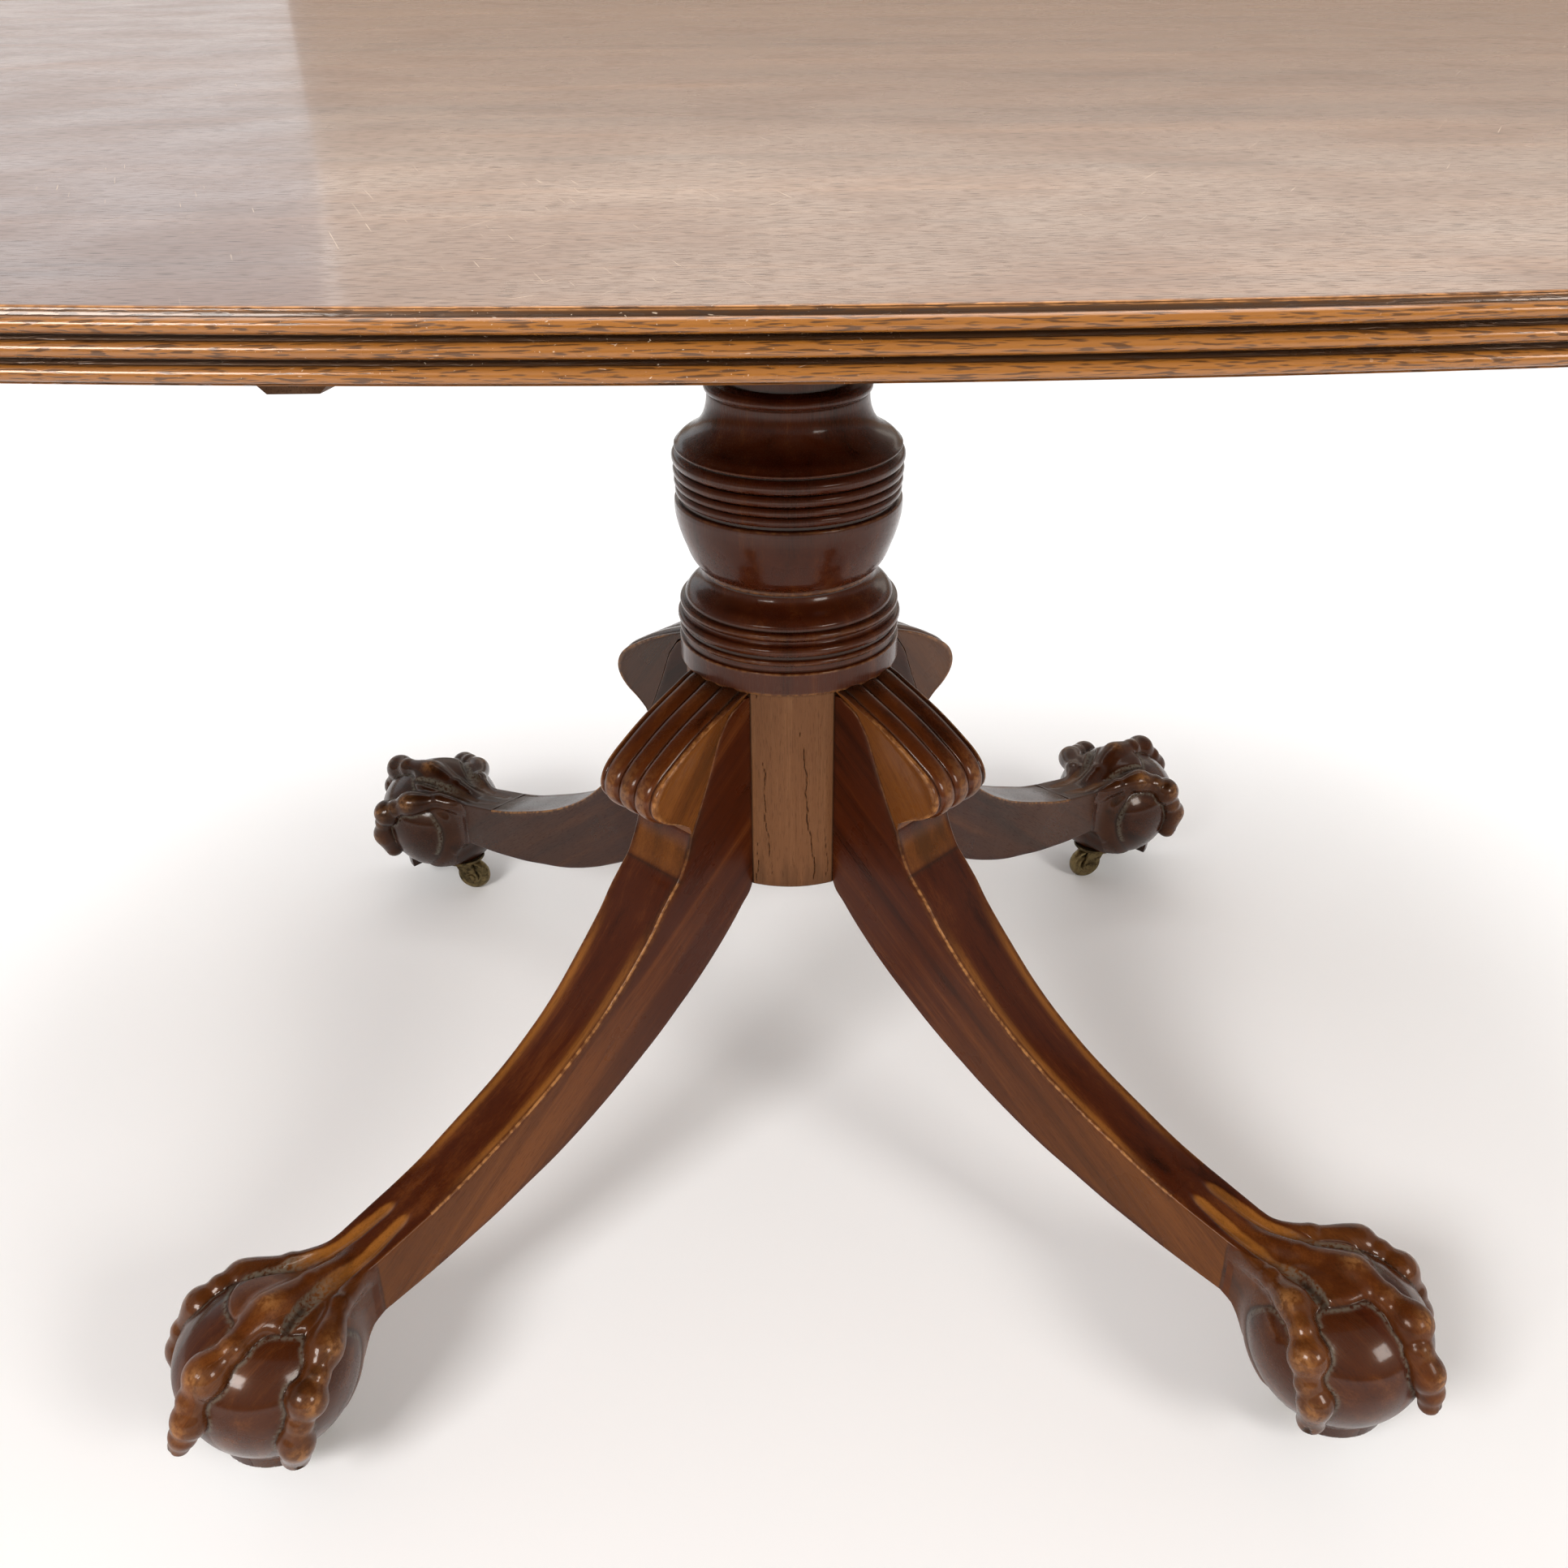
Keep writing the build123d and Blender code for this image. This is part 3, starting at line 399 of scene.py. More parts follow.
def edge_profile():
    """The moulded edge from underneath to the top: inset, height, and its dirt, wear and golden marks; dirt
    here is painted shade in the grooves and the quirk, wear partly a painted highlight at the arris.
    """
    rows = [(16, 0, 0, 0, 0.2), (3.4, 0, 0, 0, 0.3), (2.4, 0.12, 0, 0, 0.6)]
    for reed in range(3):
        middle = (reed + 0.5) * REED_PITCH
        for angle in np.linspace(-90, 90, 21):
            bulge = cos(radians(angle)) ** 0.8
            height = middle + REED_HALF_WIDTH * sin(radians(angle))
            # Painted shade: the reeds darken towards the grooves between them, and the grooves and the quirk
            # are dark.
            foot = smoothstep(0.58, 0.12, bulge)
            if reed == 0 and angle < 0:
                foot = 0
            rows.append((REED_DEPTH * (1 - bulge), height, float(foot), 0, 1))
        if reed < 2:
            rows.append((REED_DEPTH + 0.5, (reed + 1) * REED_PITCH, 1, 0, 1))
    rows += [
        # The fourth number paints a lighter line round the top arris: partly real wear, partly a painted
        # highlight.
        (QUIRK_INSET - 0.25, TOP_THICKNESS - 1.05, 0.9, 0, 1),
        (QUIRK_INSET - 0.05, TOP_THICKNESS - 0.85, 0.5, 0.5, 1),
        (QUIRK_INSET, TOP_THICKNESS - 0.70, 0, 1.0, 0.6),
        (QUIRK_INSET + 0.12, TOP_THICKNESS - 0.50, 0.75, 0, 0.6),
        (QUIRK_INSET + 0.05, TOP_THICKNESS - 0.32, 0, 1.0, 0.3),
        (QUIRK_INSET + 0.20, TOP_THICKNESS - 0.08, 0, 1.0, 0.3),
        (QUIRK_INSET + 0.55, TOP_THICKNESS, 0, 0.5, 0.1),
        (QUIRK_INSET + 1.40, TOP_THICKNESS, 0, 0, 0),
        (16, TOP_THICKNESS, 0, 0, 0),
    ]
    return rows


def whole_top():
    ring, normals = top_outline()
    rows = edge_profile()
    layers = [np.column_stack([ring - inset * normals, np.full(len(ring), UNDERSIDE + height)])
              for inset, height, *_ in rows]
    vertices = np.vstack(layers)
    faces = grid_faces(len(rows), len(ring), True).tolist()
    faces.append(list(range(len(ring)))[::-1])
    faces.append(list(range(len(vertices) - len(ring), len(vertices))))
    marks = {key: np.repeat([row[k] for row in rows], len(ring))
             for key, k in (("dirt_and_shade", 2), ("wear_and_highlight", 3), ("golden", 4))}
    return vertices, faces, marks


top_parts = whole_top()
board_width = 2 * TOP_HALF_DEPTH / BOARDS
for number in range(BOARDS):
    board_name = f"top_board_{number + 1}"
    board = make_object(board_name + "_polished", *top_parts, sharp=50)
    near, far = (-TOP_HALF_DEPTH + (number + k) * board_width for k in (0, 1))

    def trim_board(bm):
        if number > 0:
            cut(bm, (0, near, 0), (0, -1, 0))
        if number < BOARDS - 1:
            cut(bm, (0, far, 0), (0, 1, 0))

    edit(board, trim_board)
    board.data.set_sharp_from_angle(angle=radians(50))
    settle(board, "top", [board_name], top_wood[number])


# ---------------------------------------------------------------- pillar
def pillar_profile():
    """(radius, height) down the turned pillar, from its spigot under the leg block's top to its flange."""
    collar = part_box("leg_block")[1].z / MM
    block_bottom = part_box("tilt_block")[0].z / MM
    spigot = [(0, collar - 20), (24, collar - 20), (24, collar)]
    path = [np.array([*spigot, (72.9, collar), (73.5, collar + 0.6)])]

    def line(*points):
        path.append(np.array(points, float))

    def arc(middle, end):
        path.append(arc_through(tuple(path[-1][-1]), middle, end))

    def smooth(*points):
        path.append(curve_through([path[-1][-1], *points], 40)[1:])

    line((73.5, 403.2), (73.2, 403.8), (71.5, 404.4), (71.2, 405.4), (71.2, 408.6))
    arc((73.3, 410.6), (71.3, 412.6))
    line((71.1, 413.2), (71.1, 415))
    arc((74.5, 418.6), (72.3, 422.0))
    arc((70.0, 424), (70.6, 425.8))
    arc((72.8, 428.2), (70.2, 430.6))
    line((69.2, 431), (69.2, 432.4))
    smooth((68.6, 434.5), (65.8, 438), (61.0, 441.2), (57.6, 444.4), (55.8, 448), (55.5, 450))
    line((56.9, 450.4), (57.4, 451), (57.4, 453.4), (57.0, 454), (56.2, 454.6), (60.4, 454.9))
    smooth((63.2, 458.6), (65.5, 463), (67.6, 468.6), (70.0, 475), (72.1, 482), (73.6, 489), (74.1, 495))
    line((73.9, 498), (73.3, 499.2), (71.3, 499.8), (71.3, 501.6))
    arc((73.3, 504.8), (71.6, 508))
    arc((73.9, 511), (71.6, 514.2))
    arc((74.4, 518), (71.7, 521.8))
    arc((75.0, 526.3), (72.3, 530.8))
    line((71.6, 531.6), (71.8, 532.4))
    arc((73.0, 533.2), (72.4, 534.6))
    smooth((69.0, 538), (63.0, 541.6), (58.4, 545.4), (55.0, 550.2), (53.0, 555.2), (51.8, 561),
           (51.5, 566.6))
    line((51.3, 567.4))
    arc((53.4, 570.6), (51.5, 573.8))
    line((50.6, 574.6), (44, 576))
    smooth((43.6, 600), (43.8, 640), (44.4, 656), (46.8, 672), (51.6, 684), (60, block_bottom - 9))
    line((61, block_bottom - 8), (61, block_bottom))
    line((0, block_bottom))
    return np.vstack(path)


def turned(profile, segments, step):
    """A lathe mesh with painted shade in the profile's hollows and wear on its crests."""
    parts = []
    for a, b in zip(profile, profile[1:]):
        count = max(1, ceil(np.linalg.norm(b - a) / step))
        parts.append(a + (b - a) * np.arange(count)[:, None] / count)
    p = np.vstack(parts + [profile[-1:]])
    ahead = np.roll(p, -3, 0) - p
    behind = p - np.roll(p, 3, 0)
    turn = ahead[:, 1] * behind[:, 0] - ahead[:, 0] * behind[:, 1]
    turn = np.arctan2(turn, (ahead * behind).sum(1))
    turn[:3] = turn[-3:] = 0
    turn = np.convolve(turn, (0.2, 0.6, 0.2), "same")
    # Painted shade in the hollows of the profile.
    dirt_and_shade = smoothstep(0.35, 1.3, -turn)
    wear_and_highlight = 0.6 * smoothstep(0.45, 1.2, turn)
    angles = 2 * pi * np.arange(segments) / segments
    vertices = np.stack([p[:, :1] * np.cos(angles), p[:, :1] * np.sin(angles),
                         np.repeat(p[:, 1:], segments, 1)], -1).reshape(-1, 3)
    faces = grid_faces(len(p), segments, True)
    return vertices, faces, {"dirt_and_shade": np.repeat(dirt_and_shade, segments), "wear_and_highlight": np.repeat(wear_and_highlight, segments)}


pillar_vertices, pillar_faces, pillar_marks = turned(pillar_profile(), 144, 0.9)
pillar = make_object("pillar_turned", pillar_vertices, pillar_faces, pillar_marks, sharp=50)
edit(pillar, lambda bm: bmesh.ops.remove_doubles(bm, verts=bm.verts, dist=1e-6))
settle(pillar, "base", ["pillar"], pillar_wood)


# ---------------------------------------------------------------- leg block
BLOCK_RADIUS = 70
LEG_FLAT = 64
LEG_HALF_WIDTH = 26
# Cracks in each visible face of the block: where they start across it, their lean, the share of its
# height they run from and to, and how wide they are.
CRACKS = ((0.30, -0.42, 0.0, 0.93, 1.0), (-0.28, -0.30, 0.02, 0.80, 0.7),
          (0.62, -0.25, 0.0, 0.42, 0.8), (-0.66, 0.10, 0.0, 0.30, 0.6))
# A place across the face that no crack reaches, for the flats behind the legs.
UNDER_LEG = 9
block_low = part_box("leg_block")[0].z / MM
block_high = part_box("leg_block")[1].z / MM


def leg_block_mesh():
    """The drum between the legs, with drying cracks that run up it and a rounded foot."""
    corner = acos(sqrt(BLOCK_RADIUS ** 2 - LEG_HALF_WIDTH ** 2) / BLOCK_RADIUS)
    half = pi / 4 - corner
    columns = []
    for quarter in range(4):
        middle = radians(90 * quarter)
        for angle in np.linspace(-half, half, 131):
            columns.append((middle + angle, angle / half, quarter, BLOCK_RADIUS))
        for side in np.linspace(-1, 1, 7)[1:-1]:
            turn = atan2(side * LEG_HALF_WIDTH * 0.98, LEG_FLAT)
            columns.append((middle + pi / 4 + turn, UNDER_LEG, quarter, LEG_FLAT))
    rows = 96
    heights = np.r_[block_low + np.array([0, 0.2, 0.7, 1.4]), np.linspace(block_low + 2.4, block_high, rows)]
    inset = np.r_[np.array([1.6, 0.8, 0.3, 0.08]), np.zeros(rows)]
    angle, across, quarter, radius = (np.array(c) for c in zip(*columns))
    z = heights[:, None]
    up = (z - block_low) / (block_high - block_low)
    distance = np.full((len(heights), len(columns)), 9.0)
    for start, lean, low, high, width in CRACKS:
        swing = start + 0.08 * quarter * (1 if start > 0 else -1)
        line = swing + lean * up + 0.03 * np.sin(13 * up + 2 * quarter) + 0.018 * np.sin(41 * up + quarter)
        line = line + 0.008 * np.sin(97 * up) + 0.006 * np.sin(171 * up + 1)
        open_width = width * smoothstep(low - 0.01, low + 0.05, up) * smoothstep(high, high - 0.30, up)
        distance = np.minimum(distance, np.abs(across - line) / np.maximum(open_width * 0.0095, 1e-4))
    crack = smoothstep(1.0, 0.25, distance)
    r = np.where(radius == LEG_FLAT, LEG_FLAT / np.cos(angle % (pi / 2) - pi / 4), radius)
    r = r[None, :] - inset[:, None] - 1.1 * crack
    vertices = np.stack([r * np.cos(angle), r * np.sin(angle), np.broadcast_to(z, r.shape)], -1)
    vertices = vertices.reshape(-1, 3)
    faces = grid_faces(len(heights), len(columns), True).tolist()
    faces.append(list(range(len(columns)))[::-1])
    faces.append(list(range(len(vertices) - len(columns), len(vertices))))
    stain = smoothstep(0.16, 0.0, up - 0.05 * np.sin(9 * across + 3 * quarter) - 0.03 * np.sin(23 * across))
    seam = smoothstep(0.955, 0.99, np.abs(across)) * (np.abs(across) < 2)
    dirt_and_shade = np.clip(crack + 0.35 * stain + 0.9 * seam + 0.6 * smoothstep(0.985, 1.0, up), 0, 1)
    return vertices, faces, {"dirt_and_shade": dirt_and_shade}


drum = make_object("leg_block_drum", *leg_block_mesh(), sharp=40)
settle(drum, "base", ["leg_block"], block_wood)


# ---------------------------------------------------------------- legs
FOOT_JOIN = 346
OUTER_CURVE = [(70, 383.6), (84, 377.2), (94, 363.8), (104, 339), (113, 319), (120.5, 304), (124.5, 291),
               (132, 276), (141, 266), (150, 256), (160, 243), (175, 227), (190, 212.5), (205, 199),
               (225, 184), (250, 168.5), (275, 156), (300, 145), (325, 134.6), (350, 126.6), (375, 120),
               (390, 116.4)]
INNER_CURVE = [(64.2, 383.6), (64.2, 350), (64.2, 310), (64.2, 270), (64.6, 240), (68, 233.4), (75, 226.6),
               (85, 216), (100, 202), (120, 185.5), (140, 171), (160, 157), (180, 144.6), (200, 133),
               (225, 120.5), (250, 110), (275, 102), (300, 94), (325, 87.6), (350, 82), (390, 74.6)]
WIDTHS = [(0, 26), (120, 26), (150, 25.8), (165, 25), (190, 23.6), (220, 22.6), (250, 21.7), (285, 21.2),
          (323, 20.4), (361, 20.1), (389, 19.5), (430, 19)]
ARRIS = 1.5
FLANK_GOLD = 0.24


def half_width(u):
    return np.interp(u, *zip(*WIDTHS))


def leg_sections(stations):
    """Matching points on the top and bottom curves of the leg's side."""
    top_line = np.vstack([evenly(np.array(OUTER_CURVE[:6], float), 30)[:-1],
                          curve_through(OUTER_CURVE[5:], 400)])
    low_line = np.vstack([evenly(np.array(INNER_CURVE[:5], float), 30)[:-1],
                          curve_through(INNER_CURVE[4:], 400)])
    at = np.linspace(0, 1, stations)
    split = np.linspace(0, 1, len(top_line))
    return (np.column_stack([np.interp(at, split, line[:, k]) for k in (0, 1)])
            for line in (top_line, low_line))


def shank_mesh():
    """The leg from its shoulder to just above the ankle, as closed sections with rounded arrises."""
    outer, inner = leg_sections(230)
    keep = np.minimum(outer[:, 0], inner[:, 0]) < FOOT_JOIN + 3
    outer, inner = outer[keep], inner[keep]
    depth = np.linalg.norm(outer - inner, axis=1)
    along = (outer - inner) / depth[:, None]
    quarter = np.radians(np.linspace(0, 90, 6))
    loop = []
    for k in np.linspace(0, 1, 10)[:-1]:
        loop.append(("face", k, 0.0, 0.0))
    for a in quarter:
        loop.append(("corner", 1.0, cos(a), sin(a)))
    for k in np.linspace(0, 1, 16)[1:-1]:
        loop.append(("side", k, 0.0, 0.0))
    for a in quarter:
        loop.append(("low", 1.0, cos(a), sin(a)))
    for k in np.linspace(1, 0, 8)[1:-1]:
        loop.append(("under", k, 0.0, 0.0))
    both = [(1, *p) for p in loop] + [(-1, *p) for p in loop[::-1] if not (p[0] == "face" and p[1] == 0)]
    wide = (half_width(outer[:, 0]) + half_width(inner[:, 0])) / 2
    crown = 0.5
    columns, wear_and_highlight, golden, dirt_and_shade = [], [], [], []
    u = outer[:, 0]
    for side, kind, k, c, s in both:
        if kind == "face":
            v, d = k * (wide - ARRIS), depth + crown * (1 - k * k) - crown
        elif kind == "corner":
            v, d = wide - ARRIS * (1 - s), depth - ARRIS * (1 - c)
        elif kind == "side":
            v, d = wide, depth - ARRIS - k * (depth - 2.2 * ARRIS)
        elif kind == "low":
            v, d = wide - ARRIS * (1 - c), ARRIS * (1 - s)
        else:
            v, d = k * (wide - ARRIS), np.zeros_like(depth)
        v = np.broadcast_to(v, depth.shape) * side
        point = inner + along * np.broadcast_to(d, depth.shape)[:, None]
        columns.append(np.column_stack([point[:, 0], v, point[:, 1]]))
        # Lighter arrises: partly real wear, partly a painted highlight, full from u = 150 outwards.
        lit = smoothstep(121, 150, u)
        wear_and_highlight.append(0.9 * (kind == "corner") * (0.25 + 0.75 * lit) * (0.2 + 0.8 * (0.2 < s < 0.98)))
        streak = smoothstep(0.62, 0.86, k) if kind == "face" else 0.0
        stub = (kind == "face") * smoothstep(121, 124, u) * smoothstep(134, 131, u)
        flank = (kind == "side") * FLANK_GOLD * smoothstep(140, 320, u)
        streak = streak * smoothstep(150, 190, u) * smoothstep(340, 290, u)
        golden.append(np.clip(0.75 * streak + 0.3 * stub + flank, 0, 1))
        joint = np.exp(-((u - 133.5) / 0.7) ** 2) if kind in ("face", "corner") else 0.0
        shoulder = np.exp(-np.maximum(point[:, 0] - 64.3, 0))
        glue = (np.abs(u - 119) < 7) * 0.5 if kind == "corner" else 0.0
        dirt_and_shade.append(np.clip(0.7 * joint + 0.9 * shoulder + glue, 0, 1))
    vertices = np.stack(columns, 1).reshape(-1, 3)
    faces = grid_faces(len(outer), len(columns), True).tolist()
    faces.append(list(range(len(columns)))[::-1])
    marks = {"wear_and_highlight": np.stack([np.broadcast_to(w, u.shape) for w in wear_and_highlight], 1),
             "golden": np.stack([np.broadcast_to(g, u.shape) for g in golden], 1),
             "dirt_and_shade": np.stack(dirt_and_shade, 1)}
    return vertices, faces, {key: value.ravel() for key, value in marks.items()}


# ---------------------------------------------------------------- knee blocks
KNEE_EDGE = [(66, 387.9), (74, 385.8), (83, 382), (95, 377), (108, 371.2), (120, 365), (131, 358.5),
             (140.5, 352.3), (147, 346), (150.5, 339), (150.5, 332.5), (147, 326.5), (140, 321),
             (130, 316), (121, 309.5)]
KNEE_GLUE = [(65, 387), (73, 383.2), (84, 377.5), (94, 364), (104, 339), (113, 319), (120.4, 304)]
REED_WIDTH = 14.4
REED_RISE = 3.2


def knee_rise(v):
    """How far the knee's surface stands out across its width: three reeds between two thin beads."""
    reed = np.abs((np.abs(v) + REED_WIDTH / 2) % REED_WIDTH - REED_WIDTH / 2) / (REED_WIDTH / 2)
    tall = REED_RISE * np.clip(1 - reed ** 2.6, 0, 1) ** 0.62
    edge = np.abs(v) - 1.5 * REED_WIDTH
    bead_width = LEG_HALF_WIDTH - 1.5 * REED_WIDTH
    bead = 1.1 * np.clip(1 - ((edge - bead_width / 2) / (bead_width / 2)) ** 2, 0, 1) ** 0.5
    return np.where(edge < 0, tall, bead)


def knee_mesh():
    edge = curve_through(KNEE_EDGE, 150)
    glue = evenly(np.array(KNEE_GLUE, float), 400)
    share = np.r_[0, np.cumsum(np.linalg.norm(np.diff(edge, axis=0), axis=1))]
    share /= share[-1]
    glue = np.column_stack([np.interp(share, np.linspace(0, 1, 400), glue[:, k]) for k in (0, 1)])
    tangent = np.gradient(edge, axis=0)
    tangent /= np.linalg.norm(tangent, axis=1)[:, None]
    normal = np.column_stack([-tangent[:, 1], tangent[:, 0]])
    v = np.concatenate([[-LEG_HALF_WIDTH], np.linspace(-LEG_HALF_WIDTH + 0.15, LEG_HALF_WIDTH - 0.15, 173),
                        [LEG_HALF_WIDTH]])
    rise = knee_rise(v)
    fade = smoothstep(1.0, 0.93, share) * 0.9 + 0.1
    skin = np.stack([edge[:, None, 0] + normal[:, None, 0] * rise * fade[:, None],
                     np.broadcast_to(v, (len(edge), len(v))),
                     edge[:, None, 1] + normal[:, None, 1] * rise * fade[:, None]], -1)
    panels = []
    for side in (1, -1):
        for k in np.linspace(0, 1, 13)[1:]:
            sunk = LEG_HALF_WIDTH - 0.35 * min(1, 6 * k)
            point = edge + (glue - edge) * k
            column = np.column_stack([point[:, 0], np.full(len(edge), side * sunk), point[:, 1]])
            panels.append((side, column))
    right = [column for side, column in panels if side > 0]
    left = [column for side, column in panels if side < 0][::-1]
    loop = [skin[:, j] for j in range(len(v))] + right + left
    vertices = np.stack(loop, 1).reshape(-1, 3)
    columns = len(loop)
    faces = grid_faces(len(edge), columns, True).tolist()
    faces.append(list(range(columns))[::-1])
    faces.append(list(range(len(vertices) - columns, len(vertices))))
    # Painted shade: darker in the grooves between the reeds, and across the knee where it runs into the
    # recess under the pillar's collar.
    low = smoothstep(1.3, 0.2, rise)
    low[np.abs(v) > 1.5 * REED_WIDTH + 1.2] = 0
    recess = smoothstep(0.22, 0.02, share)
    dirt_and_shade = np.clip(low[None, :] * (0.75 + 0.25 * recess[:, None]) + 0.85 * recess[:, None] ** 1.5, 0, 1)
    dirt_and_shade = np.hstack([dirt_and_shade, np.zeros((len(edge), columns - len(v)))])
    wear_and_highlight = np.zeros((len(edge), columns))
    nose = np.exp(-((share - 0.72) / 0.13) ** 2)
    wear_and_highlight[:, :len(v)] = 0.45 * nose[:, None] * smoothstep(0.75, 1.0, rise / REED_RISE)[None, :]
    bead = np.abs(v) > LEG_HALF_WIDTH - 2.2
    wear_and_highlight[:, :len(v)] += 0.8 * bead[None, :] * smoothstep(0.1, 0.3, share)[:, None]
    golden = np.zeros((len(edge), columns))
    golden[:, len(v):] = 0.30
    marks = {"dirt_and_shade": dirt_and_shade.ravel(), "wear_and_highlight": wear_and_highlight.ravel(), "golden": golden.ravel()}
    return vertices, faces, marks


# ---------------------------------------------------------------- claw-and-ball feet
BALL_CENTRE = 457
ANKLE_END = 438
SAW_LINE = 19.5
CHEEK_START = 387
SWIVEL = 430
POCKET_RADIUS = 27.5
POCKET_TOP = 37
POCKET_END = 461
# The feet's skins are found on a grid of this step, and first on one BLOCK times coarser.
NET_STEP = 1.0
BLOCK = 4
# Rods of a toe thicker than this are knuckles.
KNUCKLE = 9.9
# The toes are carved by hand, so the two pairs of feet differ. Down each toe: distance outwards from
# the ball's axis, distance across towards the front of the table, height and radius.
CARVINGS = {
    "left": {
        "middle": [(-67, 0, 108, 7.2), (-34, 3, 115.5, 7.6), (-4, 8, 120.5, 10.8), (23.5, 15, 118, 8.2),
                   (41, 13, 109.5, 12.4), (51, 11, 96, 8.8), (55.5, 12, 84, 10.6), (60, 8, 72, 8.0),
                   (62, 3, 61, 6.6)],
        "front": [(-67, 10, 106, 6), (-38, 26, 111, 7), (-17, 43, 107, 11), (-4.5, 51.4, 100, 8),
                  (4.8, 55, 93, 12), (12, 56, 81, 7.8), (16, 54, 65, 10.6), (15.5, 47.5, 48, 9)],
        "back": [(-67, -10, 106, 6), (-36, -22, 112, 7), (-12, -37.5, 108.5, 10.5), (2, -39, 109, 8.2),
                 (14, -41, 102, 11.6), (26, -47, 86, 8.2), (30, -48, 72, 10), (32, -45, 54, 8)],
    },
    "right": {
        "middle": [(-67, 0, 108, 7.2), (-34, -2, 115.5, 7.6), (-2, -5, 121, 11), (20, -1, 119.5, 8.8),
                   (38, -1, 112.5, 12.4), (46.5, 6, 103.5, 8.8), (55, 7, 91, 10.4), (59, 5, 78, 8),
                   (60.5, 4, 67, 6.8)],
        "front": [(-67, 10, 106, 6), (-38, 23, 112, 7), (-17.6, 33, 113, 10.5), (-6.5, 43.5, 109, 8.4),
                  (2.3, 51, 100.5, 11.8), (7, 56, 87, 8), (13.5, 55.5, 75, 10.4), (12.5, 52.5, 56, 8.6)],
        "back": [(-67, -10, 106, 6), (-38, -26, 111, 7), (-15, -44, 107.5, 10.8), (-2, -46, 106, 8.4),
                 (12, -46, 101, 11.5), (22, -49, 87, 8.2), (27, -49, 73, 10), (29, -46, 54, 8)],
    },
}
# Which carving a foot has, and which way across the leg the front of the table lies.
FEET = {"front_left": ("left", 1), "front_right": ("right", -1), "rear_right": ("right", -1),
        "rear_left": ("left", 1)}
# The gouged valleys between the tendons: u, v, height and radius.
VALLEY = [(350, 7, 130.8, 3.0), (364, 8, 126, 4.6), (384, 9.6, 120.4, 5.0), (404, 11.5, 118, 5.0),
          (421, 14.5, 118.6, 4.8), (435, 19.5, 121, 4.6), (446, 24, 121.5, 4.0), (453, 27, 119.5, 3.0)]
# The ankle's upper and lower lines go on from the leg's curves through these: u and height.
ANKLE_TOP = [(388, 116.6), (402, 114.4), (420, 113.4), (445, 112)]
ANKLE_LOW = [(387, 75.2), (396, 70), (403, 62.5), (408, 57), (414, 62), (424, 92)]
BALL_RADIUS = 54.2
BALL_EQUATOR = 79
BALL_RISE = 43.3
BALL_DROP = 60
BASE_RADIUS = 37.6
BASE_TOP = 37
FOOT_BOTTOM = 25


def smooth_min(a, b, k):
    h = np.clip(0.5 + 0.5 * (b - a) / k, 0, 1)
    return b * (1 - h) + a * h - k * h * (1 - h)


def link(p, a, b, ra, rb):
    """Distance to a rod from a to b whose radius changes from ra to rb about its middle."""
    pa, ba = p - np.float32(a), np.float32(np.subtract(b, a))
    h = np.clip(pa @ ba / (ba @ ba), 0, 1)
    away = pa - h[..., None] * ba
    return np.sqrt((away * away).sum(-1)) - (ra + (rb - ra) * smoothstep(0.12, 0.88, h))


def claw_split(p, tip):
    """Distance to the small drying split that opens in the end of a claw."""
    outward = np.array(tip, float) - (BALL_CENTRE, 0, tip[2])
    outward /= np.linalg.norm(outward)
    return link(p, tip + 7.8 * outward - (0, 0, 5.0), tip + 7.2 * outward + (0, 0, 3.5), 2.7, 1.2)


def toe_paths(carving):
    """Centres and radii down each toe of a foot."""
    kind, front = carving
    for path in CARVINGS[kind].values():
        yield [(BALL_CENTRE + du, front * w, z) for du, w, z, _ in path], [r for *_, r in path]


